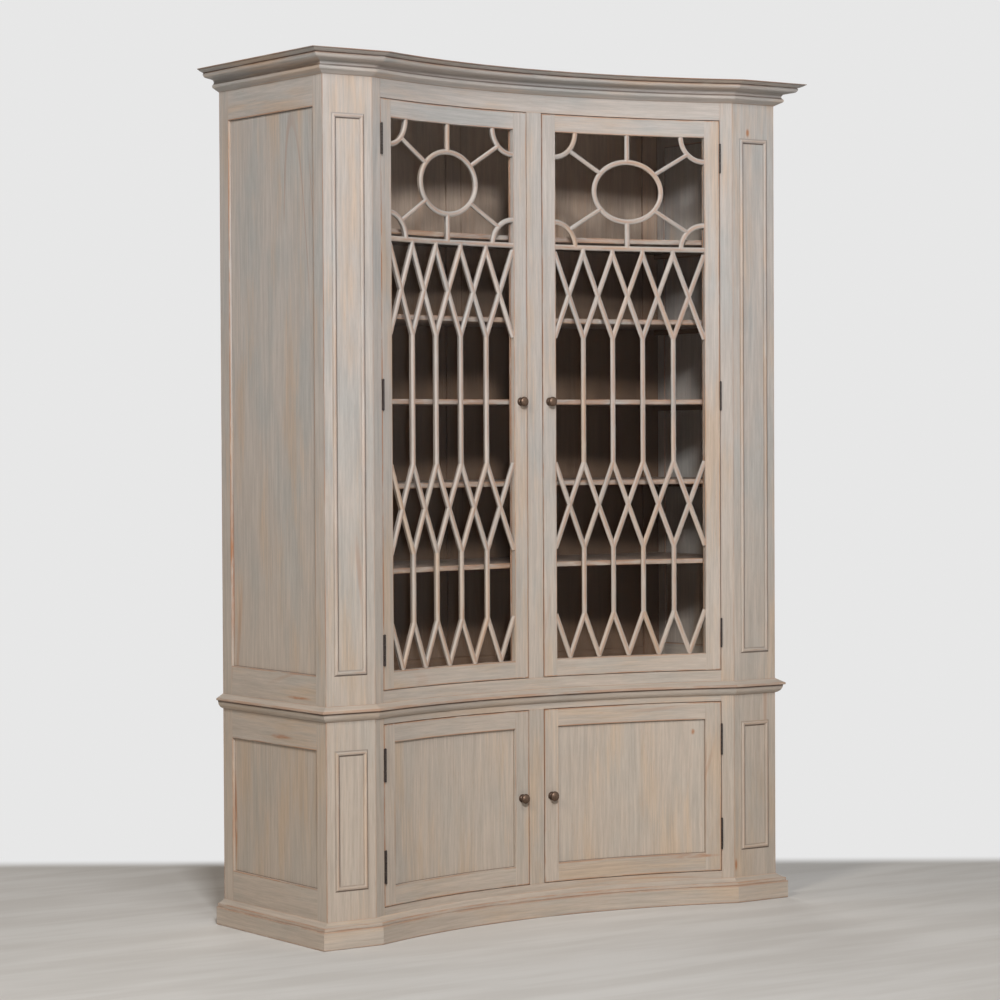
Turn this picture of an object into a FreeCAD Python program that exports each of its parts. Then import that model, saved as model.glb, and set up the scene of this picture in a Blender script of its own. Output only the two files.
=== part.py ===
import FreeCAD, Part
import math
import os

# Tall display cabinet with a concave front between two flat pilasters.
# A cupboard with two panelled doors carries a glazed upper case with two
# latticed doors. Millimetres, Z up, front towards -Y. The origin lies on the
# floor, midway across the width and midway between the back and the cornice.

Vec = FreeCAD.Vector

# Overall size
body_width = 1560.0
body_depth = 550.0
cabinet_height = 2400.0

# Concave front
pilaster_width = 157.0
bow_depth = 124.0

# Boards
front_thickness = 24.0
side_thickness = 20.0
board_thickness = 18.0
shelf_thickness = 14.0
back_thickness = 18.0
panel_thickness = 8.0
panel_setback = 8.0
groove_depth = 8.0
groove_clearance = 1.0
fit_gap = 0.3

# Plinth
plinth_height = 50.0
plinth_projection = 26.0
plinth_seat = 18.0
plinth_cap_height = 22.0
plinth_cap_projection = 22.0

# Base, waist and cornice
base_height = 640.0
waist_drop = 32.5
waist_height = 42.5
waist_projection = 22.5
cornice_height = 63.0
cornice_projection = 70.0

# Door openings: bottom above the floor, head below the base's top, then sill
# above the base's top and head below the cabinet's top
lower_opening_bottom = 92.0
lower_head = 49.0
upper_sill = 41.0
upper_head = 113.0

# Side frames: visible rails, measured from the plinth, the base's top and the
# cabinet's top
side_stile_width = 50.0
lower_side_bottom_rail = 105.0
lower_side_top_rail = 111.0
upper_side_bottom_rail = 90.0
upper_side_top_rail = 145.0

# Applied beads on the pilasters, measured from the same three levels
bead_width = 10.0
bead_height = 5.0
bead_inset = 29.0
bead_flat_share = 0.45
lower_bead_sill = 103.0
lower_bead_head = 114.0
upper_bead_sill = 92.0
upper_bead_head = 166.0

# Face frame
centre_stile_width = 51.0
outer_stile_width = 35.0

# Doors
door_thickness = 24.0
door_gap = 2.0
meeting_bevel = 15.0
upper_stile_width = 45.5
upper_rail_width = 49.0
lower_stile_width = 48.0
lower_top_rail_width = 50.0
lower_bottom_rail_width = 53.0

# Glazing
bar_setback = 0.5
bar_depth = 15.5
bar_width = 12.0
spoke_width = 10.0
glass_thickness = 3.0
glass_rebate = 8.0
glass_clearance = 1.0
oval_zone_height = 327.0
oval_half_width = 107.0
oval_half_height = 86.0
corner_arc_radius = 71.0
lattice_columns = 5
lattice_rise = 122.0
lattice_foot = 5.0
lower_straight_run = 190.0
middle_straight_run = 357.0
lattice_head = 15.0

# Shelves: the lowest above and the highest below the ends of the upper opening,
# and the base's shelf above the middle of its opening
shelf_sill = 327.0
shelf_head = 347.0
shelf_count = 5
shelf_front_setback = 45.0
base_shelf_rise = 3.5
batten_width = 15.0
batten_height = 15.0

# Back of the upper case
back_stile_width = 60.0
back_rail_width = 60.0
back_muntin_width = 56.0
back_panel_setback = 5.0

# Hinges
upper_hinge_length = 84.0
lower_hinge_length = 90.0
hinge_inset = 109.0
pin_standoff = 5.0
knuckle_radius = 4.0
pin_bore_radius = 2.0
pin_clearance = 0.08
pin_tip = 1.5
leaf_thickness = 1.8
leaf_clearance = 0.2
leaf_depth = 18.0
knuckle_gap = 0.3
knuckle_flats = 8

# Knobs, placed below the middle of their opening
upper_knob_drop = 16.5
lower_knob_drop = 0.5
rose_radius = 12.0
rose_thickness = 2.5
neck_radius = 5.0
neck_length = 8.0
head_radius = 14.0
head_length = 14.0
knob_seat_gap = 0.05

# Magnetic catches behind the centre stile
catch_half_width = 46.0
catch_thickness = 14.0
catch_height = 26.0
catch_drop = 6.0
strike_thickness = 1.0
strike_width = 14.0
strike_height = 20.0

# Moulding outlines as (kind, shares of projection and height ...), bottom up.
# A line item holds its end, an arc item holds a point on the way and its end.
cornice_shares = [
    ("line", 0.26, 0.165),
    ("line", 0.31, 0.25),
    ("line", 0.25, 0.36),
    ("line", 0.32, 0.545),
    ("line", 0.62, 0.61),
    ("arc", 0.715, 0.68, 0.735, 0.80),
    ("line", 0.70, 0.82),
    ("arc", 0.83, 0.865, 0.965, 0.955),
    ("line", 1.0, 0.965),
    ("line", 1.0, 1.0),
    ("line", 0.0, 1.0),
]
waist_shares = [
    ("line", 0.50, 0.14),
    ("line", 0.74, 0.54),
    ("line", 1.0, 0.57),
    ("line", 1.0, 0.69),
    ("line", 0.0, 1.0),
]
plinth_cap_shares = [
    ("line", 1.0, 0.0),
    ("line", 1.0, 0.42),
    ("arc", 0.52, 0.60, 0.0, 1.0),
]
rose_edge_share = 0.50
knob_shoulder_share = 0.45
knob_crown_share = 0.60
knob_crown_rise = 0.75

# Worked out from the sizes above
half_width = body_width / 2
back_y = (body_depth + cornice_projection) / 2
front_y = back_y - body_depth
half_bow = half_width - pilaster_width
bow_radius = (half_bow ** 2 + bow_depth ** 2) / (2 * bow_depth)
bow_centre_y = front_y + bow_depth - bow_radius
junction_angle = math.degrees(math.asin(half_bow / bow_radius))
junction_slope = math.tan(math.radians(junction_angle / 2))
top_board_bottom = cabinet_height - board_thickness
waist_bottom = base_height - waist_drop
lower_opening_top = base_height - lower_head
upper_opening_bottom = base_height + upper_sill
upper_opening_top = cabinet_height - upper_head
inner_side_x = half_width - side_thickness
inner_back_y = back_y - back_thickness
mitre_reach = 2 * cornice_projection
mitre_depth = front_thickness + plinth_projection + bead_width


def face_angle(x):
    """Angle about the bow's centre of the point of the door face at x."""
    return math.degrees(math.asin(x / bow_radius))


def run_angle(length):
    """Angle that a length along the door face covers."""
    return math.degrees(length / bow_radius)


def bow_point(depth, angle, z):
    """Point at a depth behind the door face."""
    radius = bow_radius + depth
    turn = math.radians(angle)
    return Vec(radius * math.sin(turn), bow_centre_y + radius * math.cos(turn), z)


def mirrored(shapes):
    """The same pieces on the left half of the cabinet."""
    return [shape.mirror(Vec(0, 0, 0), Vec(1, 0, 0)) for shape in shapes]


def both_sides(shapes):
    return shapes + mirrored(shapes)


def box(x0, x1, y0, y1, z0, z1):
    return Part.makeBox(x1 - x0, y1 - y0, z1 - z0, Vec(x0, y0, z0))


def prism(points, z0, z1):
    """Upright prism over a plan polygon."""
    corners = [Vec(point.x, point.y, z0) for point in points]
    face = Part.Face(Part.makePolygon(corners + corners[:1]))
    return face.extrude(Vec(0, 0, z1 - z0))


def bow_slab(depth0, depth1, angle0, angle1, z0, z1):
    """Curved board between two depths, two angles and two levels."""
    middle = (angle0 + angle1) / 2
    edges = [
        Part.Arc(
            bow_point(depth0, angle0, z0),
            bow_point(depth0, middle, z0),
            bow_point(depth0, angle1, z0),
        ),
        Part.LineSegment(bow_point(depth0, angle1, z0), bow_point(depth1, angle1, z0)),
        Part.Arc(
            bow_point(depth1, angle1, z0),
            bow_point(depth1, middle, z0),
            bow_point(depth1, angle0, z0),
        ),
        Part.LineSegment(bow_point(depth1, angle0, z0), bow_point(depth0, angle0, z0)),
    ]
    wire = Part.Wire([edge.toShape() for edge in edges])
    return Part.Face(wire).extrude(Vec(0, 0, z1 - z0))


def at_bow(shape, depth, angle, z):
    """Place a piece drawn with X along the face and Y into the cabinet."""
    placed = shape.copy()
    placed.rotate(Vec(0, 0, 0), Vec(0, 0, 1), -angle)
    placed.translate(bow_point(depth, angle, z))
    return placed


def corner_point(offset):
    """Front corner of the body, moved out by an offset on both faces."""
    return Vec(half_width + offset, front_y - offset, 0)


def junction_point(offset):
    """Edge between pilaster and bow, moved out by an offset on both faces."""
    return Vec(half_bow - offset * junction_slope, front_y - offset, 0)


def mitre_regions():
    """Right-hand prisms that cut side, pilaster and bow pieces at their mitres."""
    corner_out = corner_point(mitre_reach)
    corner_in = corner_point(-mitre_depth)
    junction_out = junction_point(mitre_reach)
    junction_in = junction_point(-mitre_depth)
    side = [
        corner_out,
        corner_in,
        Vec(corner_in.x, back_y, 0),
        Vec(corner_out.x, back_y, 0),
    ]
    pilaster = [corner_out, corner_in, junction_in, junction_out]
    bow = [
        junction_out,
        junction_in,
        Vec(junction_in.x, back_y, 0),
        Vec(-junction_in.x, back_y, 0),
        Vec(-junction_in.x, junction_in.y, 0),
        Vec(-junction_out.x, junction_out.y, 0),
    ]
    return [prism(plan, 0, cabinet_height) for plan in (side, pilaster, bow)]


side_region, pilaster_region, bow_region = mitre_regions()


def outline_face(shares, projection, height, place):
    """Closed face of a moulding outline, placed by a function of (out, up)."""
    here = place(0, 0)
    start = here
    edges = []
    for item in shares:
        steps = [
            place(item[i] * projection, item[i + 1] * height)
            for i in range(1, len(item), 2)
        ]
        if item[0] == "line":
            edges.append(Part.LineSegment(here, steps[0]).toShape())
        else:
            edges.append(Part.Arc(here, steps[0], steps[1]).toShape())
        here = steps[-1]
    edges.append(Part.LineSegment(here, start).toShape())
    return Part.Face(Part.Wire(edges))


def moulding(shares, projection, height, bottom):
    """Five mitred lengths round the sides, the pilasters and the bow."""
    side_face = outline_face(
        shares, projection, height,
        lambda out, up: Vec(half_width + out, back_y, bottom + up),
    )
    side = side_face.extrude(Vec(0, -body_depth - mitre_reach, 0)).common(side_region)
    pilaster_face = outline_face(
        shares, projection, height,
        lambda out, up: Vec(junction_point(mitre_reach).x, front_y - out, bottom + up),
    )
    run = corner_point(mitre_reach).x - junction_point(mitre_reach).x
    pilaster = pilaster_face.extrude(Vec(run, 0, 0)).common(pilaster_region)
    bow_face = outline_face(
        shares, projection, height,
        lambda out, up: bow_point(-out, 0, bottom + up),
    )
    centre = Vec(0, bow_centre_y, 0)
    sweep = junction_angle + run_angle(mitre_reach)
    bow_face.rotate(centre, Vec(0, 0, 1), -sweep)
    bow = bow_face.revolve(centre, Vec(0, 0, 1), 2 * sweep).common(bow_region)
    return both_sides([side, pilaster]) + [bow]


def board(front_depth, z0, z1, side_x, rear_y):
    """Level board whose front runs parallel to the cabinet's front."""
    front = front_y + front_depth
    radius = bow_radius + front_depth
    corner_x = math.sqrt(radius ** 2 - (front - bow_centre_y) ** 2)
    left = Vec(-corner_x, front, z0)
    right = Vec(corner_x, front, z0)
    edges = [
        Part.LineSegment(Vec(-side_x, rear_y, z0), Vec(-side_x, front, z0)),
        Part.LineSegment(Vec(-side_x, front, z0), left),
        Part.Arc(left, Vec(0, bow_centre_y + radius, z0), right),
        Part.LineSegment(right, Vec(side_x, front, z0)),
        Part.LineSegment(Vec(side_x, front, z0), Vec(side_x, rear_y, z0)),
        Part.LineSegment(Vec(side_x, rear_y, z0), Vec(-side_x, rear_y, z0)),
    ]
    wire = Part.Wire([edge.toShape() for edge in edges])
    return Part.Face(wire).extrude(Vec(0, 0, z1 - z0))


def plinth_boards():
    """Thick boards under the carcass, with a rail across the back."""
    inner = half_width - plinth_seat
    outer = half_width + plinth_projection
    front = front_y - plinth_projection
    side = box(inner, outer, front, back_y, 0, plinth_height).common(side_region)
    pilaster = box(
        junction_point(mitre_reach).x, outer, front, front_y + plinth_seat, 0, plinth_height
    ).common(pilaster_region)
    sweep = junction_angle + run_angle(plinth_projection)
    bow = bow_slab(
        -plinth_projection, plinth_seat, -sweep, sweep, 0, plinth_height
    ).common(bow_region)
    rear = box(-inner, inner, inner_back_y, back_y, 0, plinth_height)
    return both_sides([side, pilaster]) + [bow, rear]


def side_pieces(z0, z1, panel_bottom, panel_top):
    """Right side: two stiles and two rails grooved for a flat panel."""
    stile_front = front_y + side_stile_width
    stile_back = back_y - side_stile_width
    x0 = inner_side_x
    x1 = half_width
    frame = [
        box(x0, x1, front_y, stile_front, z0, z1).common(side_region),
        box(x0, x1, stile_back, back_y, z0, z1),
        box(x0, x1, stile_front, stile_back, z0, panel_bottom),
        box(x0, x1, stile_front, stile_back, panel_top, z1),
    ]
    panel_x1 = half_width - panel_setback
    panel_x0 = panel_x1 - panel_thickness

    def panel_box(edge):
        return box(
            panel_x0, panel_x1, stile_front - edge, stile_back + edge,
            panel_bottom - edge, panel_top + edge,
        )

    groove = panel_box(groove_depth + groove_clearance)
    return [piece.cut(groove) for piece in frame], panel_box(groove_depth)


def pilaster_board(z0, z1):
    """Right pilaster, mitred to the side and to the face frame."""
    plain = box(
        junction_point(-mitre_depth).x - mitre_depth, half_width,
        front_y, front_y + front_thickness, z0, z1,
    )
    return plain.common(pilaster_region)


def bead_section(half):
    """Bevelled bead section in (across, proud) coordinates."""
    flat = half * bead_flat_share
    return [(-half, 0.0), (-flat, bead_height), (flat, bead_height), (half, 0.0)]


def pilaster_beads(bottom, top):
    """Four mitred strips that frame the right pilaster's face."""
    x0 = half_bow + bead_inset
    x1 = half_width - bead_inset
    half = bead_width / 2
    across = (x1 - x0) / 2
    along = (top - bottom) / 2
    strips = []
    for sign in (-1, 1):
        strips.append(bead_strip(Vec(0, 0, along), Vec(sign, 0, 0), across, half))
        strips.append(bead_strip(Vec(across, 0, 0), Vec(0, 0, sign), along, half))
    middle = Vec((x0 + x1) / 2, front_y, (bottom + top) / 2)
    for strip in strips:
        strip.translate(middle)
    return strips


def bead_strip(half_run, outward, distance, half):
    """One strip along half_run, its outer edge at a distance from the middle."""
    centre_line = outward * (distance - half)
    start = centre_line - half_run
    points = [start + outward * a + Vec(0, -p, 0) for a, p in bead_section(half)]
    face = Part.Face(Part.makePolygon(points + points[:1]))
    strip = face.extrude(half_run * 2)
    tip = half_run * (1 / half_run.Length)
    reach = half_run.Length
    inner = reach - bead_width
    near = outward * (distance - bead_width)
    far = outward * distance
    mitre = Part.Face(
        Part.makePolygon([
            near - tip * inner,
            far - tip * reach,
            far + tip * reach,
            near + tip * inner,
            near - tip * inner,
        ])
    )
    return strip.common(mitre.extrude(Vec(0, -bead_height, 0)))


def face_frame(z0, z1, opening_bottom, opening_top):
    """Outer stiles, centre stile and two rails along the bow."""
    outer = face_angle(half_bow - outer_stile_width)
    inner = face_angle(centre_stile_width / 2)
    reach = junction_angle + run_angle(front_thickness)
    stile = bow_slab(0, front_thickness, outer, reach, z0, z1).common(bow_region)
    rails = [
        bow_slab(0, front_thickness, -outer, outer, z0, opening_bottom),
        bow_slab(0, front_thickness, -outer, outer, opening_top, z1),
    ]
    centre = bow_slab(0, front_thickness, -inner, inner, opening_bottom, opening_top)
    return both_sides([stile]) + rails + [centre]


def door_edges():
    """Angles of the right door's meeting edge and hinge edge."""
    meeting = face_angle(centre_stile_width / 2 + door_gap)
    hinge = face_angle(half_bow - outer_stile_width - door_gap)
    return meeting, hinge


def meeting_cutter(z0, z1):
    """Wedge that bevels a door's meeting edge so that it clears when it swings."""
    meeting = door_edges()[0]
    face_point = bow_point(0, meeting, 0)
    slope = math.tan(math.radians(meeting_bevel + meeting))
    back = face_point + Vec(door_thickness * slope, door_thickness, 0)
    front = face_point - Vec(door_thickness * slope, door_thickness, 0)
    return prism([
        front + (front - back),
        back + (back - front),
        Vec(0, back.y + door_thickness, 0),
        Vec(0, front.y - door_thickness, 0),
    ], z0, z1)


def door_frame(z0, z1, stile_width, bottom_rail, top_rail):
    """Stiles and rails of the right door, and the angles of its opening."""
    meeting, hinge = door_edges()
    stile = run_angle(stile_width)
    inner = meeting + stile
    outer = hinge - stile
    stiles = [
        bow_slab(0, door_thickness, meeting, inner, z0, z1).cut(meeting_cutter(z0, z1)),
        bow_slab(0, door_thickness, outer, hinge, z0, z1),
    ]
    rails = [
        bow_slab(0, door_thickness, inner, outer, z0, z0 + bottom_rail),
        bow_slab(0, door_thickness, inner, outer, z1 - top_rail, z1),
    ]
    return stiles, rails, inner, outer


def hinge_levels(z0, z1, count):
    """Middle level of each hinge on a door's hinge edge."""
    first = z0 + hinge_inset
    last = z1 - hinge_inset
    return [first + (last - first) * i / (count - 1) for i in range(count)]


def hinge_angle():
    return face_angle(half_bow - outer_stile_width - door_gap / 2)


def flat_sided(inscribed_radius, z0, z1):
    """Upright prism whose flats touch a circle about Z."""
    corner_radius = inscribed_radius / math.cos(math.pi / knuckle_flats)
    turns = [2 * math.pi * (i + 0.5) / knuckle_flats for i in range(knuckle_flats)]
    return prism([Vec(math.cos(t), math.sin(t), 0) * corner_radius for t in turns], z0, z1)


def hinge_leaf(length, side, knuckles):
    """Leaf about a pin on Z and its mortise; side is 1 for the frame, -1 for the door."""
    near = leaf_clearance
    far = leaf_clearance + leaf_thickness
    x0 = min(side * near, side * far)
    x1 = max(side * near, side * far)
    leaf = box(x0, x1, pin_standoff, pin_standoff + leaf_depth, 0, length)
    mortise = box(x0, x1, 0, pin_standoff + leaf_depth, 0, length)
    barrel_radius = knuckle_radius * math.cos(math.pi / knuckle_flats)
    for low, high in knuckles:
        web = box(x0, x1, 0, pin_standoff, low, high)
        leaf = leaf.fuse([flat_sided(barrel_radius, low, high), web])
    bore = flat_sided(pin_bore_radius, 0, length)
    return leaf.cut(bore).removeSplitter(), mortise


def hinge(length, level):
    """Frame leaf, door leaf, their mortises and the pin of one right-hand hinge."""
    third = length / 3
    frame_leaf, frame_mortise = hinge_leaf(
        length, 1, [(0, third), (length - third, length)]
    )
    door_leaf, door_mortise = hinge_leaf(
        length, -1, [(third + knuckle_gap, length - third - knuckle_gap)]
    )
    pin = Part.makeCylinder(
        pin_bore_radius - pin_clearance, length + 2 * pin_tip, Vec(0, 0, -pin_tip)
    )
    pieces = [frame_leaf, door_leaf, frame_mortise, door_mortise, pin]
    low = level - length / 2
    return [at_bow(piece, -pin_standoff, hinge_angle(), low) for piece in pieces]


def knob():
    """Turned knob on a rose, drawn with its axis along -Y."""
    neck_end = rose_thickness + neck_length
    shoulder = neck_end + head_length * knob_shoulder_share
    top = neck_end + head_length
    crown = shoulder + (top - shoulder) * knob_crown_rise
    outline = [
        (0, knob_seat_gap),
        (rose_radius, knob_seat_gap),
        (rose_radius, rose_thickness * rose_edge_share),
        (neck_radius, rose_thickness),
        (neck_radius, neck_end),
        (head_radius, shoulder),
        (head_radius * knob_crown_share, crown),
        (0, top),
    ]
    points = [Vec(out, -along, 0) for out, along in outline]
    face = Part.Face(Part.makePolygon(points + points[:1]))
    return face.revolve(Vec(0, 0, 0), Vec(0, 1, 0), 360)


def bar(start, end, width, depth0, depth1):
    """Straight glazing bar between two (angle, level) points of the face."""
    middle = (start[0] + end[0]) / 2
    run = math.radians(end[0] - start[0]) * bow_radius
    rise = end[1] - start[1]
    length = math.hypot(run, rise)
    blank = box(-width / 2, width / 2, depth0 - bar_width, depth1 + bar_width, -length / 2, length / 2)
    blank.rotate(Vec(0, 0, 0), Vec(0, 1, 0), math.degrees(math.atan2(run, rise)))
    return at_bow(blank, 0, middle, (start[1] + end[1]) / 2)


def round_joint(place, width, depth0, depth1):
    """Disc that rounds the meeting of several bars."""
    disc = Part.makeCylinder(
        width / 2, depth1 - depth0 + 2 * bar_width, Vec(0, depth0 - bar_width, 0), Vec(0, 1, 0)
    )
    return at_bow(disc, 0, place[0], place[1])


def ring(place, half_across, half_up, width, depth0, depth1):
    """Oval ring of one bar's width about a point of the face."""
    outlines = []
    for sign in (1, -1):
        across = half_across + sign * width / 2
        up = half_up + sign * width / 2
        if across > up:
            curve = Part.Ellipse(Vec(across, 0, 0), Vec(0, up, 0), Vec(0, 0, 0))
        else:
            curve = Part.Circle(Vec(0, 0, 0), Vec(0, 0, 1), across)
        outlines.append(Part.Face(Part.Wire([curve.toShape()])))
    flat = outlines[0].cut(outlines[1])
    solid = flat.extrude(Vec(0, 0, depth1 - depth0 + 2 * bar_width))
    solid.rotate(Vec(0, 0, 0), Vec(1, 0, 0), -90)
    solid.translate(Vec(0, depth0 - bar_width, 0))
    return at_bow(solid, 0, place[0], place[1])


def lattice_levels(bottom, top):
    """Ends of the lattice's rows from the foot up, in fixed shares of its zone."""
    steps = [
        lattice_foot, lattice_rise, lower_straight_run, 2 * lattice_rise,
        middle_straight_run, 2 * lattice_rise, lattice_head,
    ]
    scale = (top - bottom) / sum(steps)
    return [bottom + scale * sum(steps[:i + 1]) for i in range(len(steps) - 1)]


def glazing_bars(inner, outer, z0, z1):
    """Lattice of pointed columns below a bar, and an oval with spokes above it."""
    depth0 = bar_setback
    depth1 = bar_setback + bar_depth
    step = (outer - inner) / lattice_columns
    bar_level = z1 - oval_zone_height
    foot, high, row, middle, top_row, crest = lattice_levels(z0, bar_level)

    def stick(start, end):
        return bar(start, end, bar_width, depth0, depth1)

    pieces = [stick((inner, bar_level), (outer, bar_level))]
    joints = []
    for column in range(lattice_columns):
        left = inner + step * column
        right = left + step
        centre = left + step / 2
        pieces += [stick((left, high), (centre, foot)), stick((centre, foot), (right, high))]
        for lower, upper in ((row, middle), (top_row, crest)):
            pieces += [stick((left, lower), (right, upper)), stick((right, lower), (left, upper))]
        joints.append((centre, foot))
    for column in range(1, lattice_columns):
        place = inner + step * column
        for lower, upper in ((high, row), (middle, top_row), (crest, bar_level)):
            pieces.append(stick((place, lower), (place, upper)))
        joints += [(place, level) for level in (high, row, middle, top_row, crest)]
    pieces += [round_joint(place, bar_width, depth0, depth1) for place in joints]
    pieces.append(oval_bars(inner, outer, bar_level, z1, depth0, depth1))
    opening = bow_slab(depth0, depth1, inner, outer, z0, z1)
    return pieces[0].fuse(pieces[1:]).common(opening).removeSplitter()


def oval_bars(inner, outer, z0, z1, depth0, depth1):
    """Oval with six spokes and a quarter ring in each corner of its zone. A slanted
    spoke runs from the oval to the middle of a quarter ring, towards the centre."""
    half_angle = (outer - inner) / 2
    centre = (inner + half_angle, (z0 + z1) / 2)
    half_run = math.radians(half_angle) * bow_radius
    half_rise = (z1 - z0) / 2
    pieces = [ring(centre, oval_half_width, oval_half_height, bar_width, depth0, depth1)]
    for up in (-1, 1):
        start = (centre[0], centre[1] + up * oval_half_height)
        end = (centre[0], centre[1] + up * half_rise)
        pieces.append(bar(start, end, bar_width, depth0, depth1))
        for across in (-1, 1):
            corner = (centre[0] + across * half_angle, centre[1] + up * half_rise)
            pieces.append(
                ring(corner, corner_arc_radius, corner_arc_radius, bar_width, depth0, depth1)
            )
            far_run = half_run - corner_arc_radius / math.sqrt(2)
            far_rise = half_rise - corner_arc_radius / math.sqrt(2)
            reach = math.hypot(far_run / oval_half_width, far_rise / oval_half_height)
            start = (
                centre[0] + across * run_angle(far_run / reach),
                centre[1] + up * far_rise / reach,
            )
            end = (
                centre[0] + across * run_angle(far_run), centre[1] + up * far_rise
            )
            pieces.append(bar(start, end, spoke_width, depth0, depth1))
    zone = bow_slab(depth0, depth1, inner, outer, z0, z1)
    return pieces[0].fuse(pieces[1:]).common(zone)


def strike_plate(level):
    """Thin steel plate let into the back of a right door's meeting stile."""
    middle = face_angle(catch_half_width) - run_angle(strike_width / 2)
    half = run_angle(strike_width / 2)
    return bow_slab(
        door_thickness - strike_thickness, door_thickness,
        middle - half, middle + half, level - strike_height / 2, level + strike_height / 2,
    )


def hang_door(stiles, z0, z1, length, count, strike_levels):
    """Cut a door's mortises; return stiles, fittings, frame leaves, pins and mortises."""
    fittings = []
    leaves = []
    pins = []
    mortises = []
    for level in hinge_levels(z0, z1, count):
        frame_leaf, door_leaf, frame_mortise, door_mortise, pin = hinge(length, level)
        stiles = [stiles[0], stiles[1].cut(door_mortise)]
        fittings.append(door_leaf)
        leaves.append(frame_leaf)
        pins.append(pin)
        mortises.append(frame_mortise)
    for level in strike_levels:
        strike = strike_plate(level)
        stiles = [stiles[0].cut(strike), stiles[1]]
        fittings.append(strike)
    return stiles, fittings, leaves, pins, mortises


def placed_knob(stile_width, opening_bottom, opening_top, drop):
    """Knob on a right door's meeting stile, a drop below the opening's middle."""
    angle = door_edges()[0] + run_angle(stile_width) / 2
    return at_bow(knob(), 0, angle, (opening_bottom + opening_top) / 2 - drop)


def upper_door(strike_levels):
    """Right glazed door: frame, lattice, glass, rear beads and fittings."""
    z0 = upper_opening_bottom + door_gap
    z1 = upper_opening_top - door_gap
    stiles, rails, inner, outer = door_frame(
        z0, z1, upper_stile_width, upper_rail_width, upper_rail_width
    )
    glass_bottom = z0 + upper_rail_width
    glass_top = z1 - upper_rail_width
    glass_front = bar_setback + bar_depth
    glass_back = glass_front + glass_thickness
    side = run_angle(glass_rebate)
    rebate = bow_slab(
        glass_front, door_thickness, inner - side, outer + side,
        glass_bottom - glass_rebate, glass_top + glass_rebate,
    )
    stiles = [stile.cut(rebate) for stile in stiles]
    rails = [rail.cut(rebate) for rail in rails]
    edge = glass_rebate - glass_clearance
    glass = bow_slab(
        glass_front, glass_back, inner - run_angle(edge), outer + run_angle(edge),
        glass_bottom - edge, glass_top + edge,
    )
    beads = [
        bow_slab(
            glass_back, door_thickness, inner - side, inner,
            glass_bottom - glass_rebate, glass_top + glass_rebate,
        ),
        bow_slab(
            glass_back, door_thickness, outer, outer + side,
            glass_bottom - glass_rebate, glass_top + glass_rebate,
        ),
        bow_slab(
            glass_back, door_thickness, inner, outer, glass_bottom - glass_rebate, glass_bottom
        ),
        bow_slab(
            glass_back, door_thickness, inner, outer, glass_top, glass_top + glass_rebate
        ),
    ]
    stiles, fittings, leaves, pins, mortises = hang_door(
        stiles, z0, z1, upper_hinge_length, 3, strike_levels
    )
    fittings.append(
        placed_knob(upper_stile_width, upper_opening_bottom, upper_opening_top, upper_knob_drop)
    )
    pieces = {
        "stiles": stiles,
        "rails": rails,
        "glazing_bars": [glazing_bars(inner, outer, glass_bottom, glass_top)],
        "glass": [glass],
        "glazing_beads": beads,
        "fittings": fittings,
    }
    return pieces, leaves, pins, mortises


def lower_door(strike_levels):
    """Right panelled door: frame, curved panel and fittings."""
    z0 = lower_opening_bottom + door_gap
    z1 = lower_opening_top - door_gap
    stiles, rails, inner, outer = door_frame(
        z0, z1, lower_stile_width, lower_bottom_rail_width, lower_top_rail_width
    )
    panel_bottom = z0 + lower_bottom_rail_width
    panel_top = z1 - lower_top_rail_width

    def panel_slab(edge):
        return bow_slab(
            panel_setback, panel_setback + panel_thickness,
            inner - run_angle(edge), outer + run_angle(edge),
            panel_bottom - edge, panel_top + edge,
        )

    groove = panel_slab(groove_depth + groove_clearance)
    stiles = [stile.cut(groove) for stile in stiles]
    rails = [rail.cut(groove) for rail in rails]
    stiles, fittings, leaves, pins, mortises = hang_door(
        stiles, z0, z1, lower_hinge_length, 2, strike_levels
    )
    fittings.append(
        placed_knob(lower_stile_width, lower_opening_bottom, lower_opening_top, lower_knob_drop)
    )
    pieces = {
        "stiles": stiles,
        "rails": rails,
        "panel": [panel_slab(groove_depth)],
        "fittings": fittings,
    }
    return pieces, leaves, pins, mortises


def catch_levels():
    """Level of each magnetic catch: two for the upper doors, one for the lower."""
    drop = door_gap + catch_drop + catch_height / 2
    return [upper_opening_bottom + drop, upper_opening_top - drop], [lower_opening_top - drop]


def door_catches(levels):
    """Catch housings behind the centre stile, overlapping both doors' edges."""
    half = face_angle(catch_half_width)
    front = front_thickness + fit_gap
    return [
        bow_slab(
            front, front + catch_thickness, -half, half,
            level - catch_height / 2, level + catch_height / 2,
        )
        for level in levels
    ]


def upper_back():
    """Back of the upper case: five frame members grooved for two panels."""
    z0 = base_height
    z1 = top_board_bottom
    y0 = inner_back_y
    half_muntin = back_muntin_width / 2
    stile_x = inner_side_x - back_stile_width
    low = z0 + back_rail_width + board_thickness
    high = z1 - back_rail_width
    frame = [
        box(-inner_side_x, -stile_x, y0, back_y, z0, z1),
        box(stile_x, inner_side_x, y0, back_y, z0, z1),
        box(-stile_x, stile_x, y0, back_y, z0, low),
        box(-stile_x, stile_x, y0, back_y, high, z1),
        box(-half_muntin, half_muntin, y0, back_y, low, high),
    ]
    panel_y0 = y0 + back_panel_setback
    panel_y1 = panel_y0 + panel_thickness

    def panel_box(edge):
        return box(
            half_muntin - edge, stile_x + edge, panel_y0, panel_y1, low - edge, high + edge
        )

    grooves = both_sides([panel_box(groove_depth + groove_clearance)])
    frame = [piece.cut(grooves[0]).cut(grooves[1]) for piece in frame]
    return frame, both_sides([panel_box(groove_depth)])


def shelf_tops():
    first = upper_opening_bottom + shelf_sill
    last = upper_opening_top - shelf_head
    return [first + (last - first) * i / (shelf_count - 1) for i in range(shelf_count)]


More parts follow.
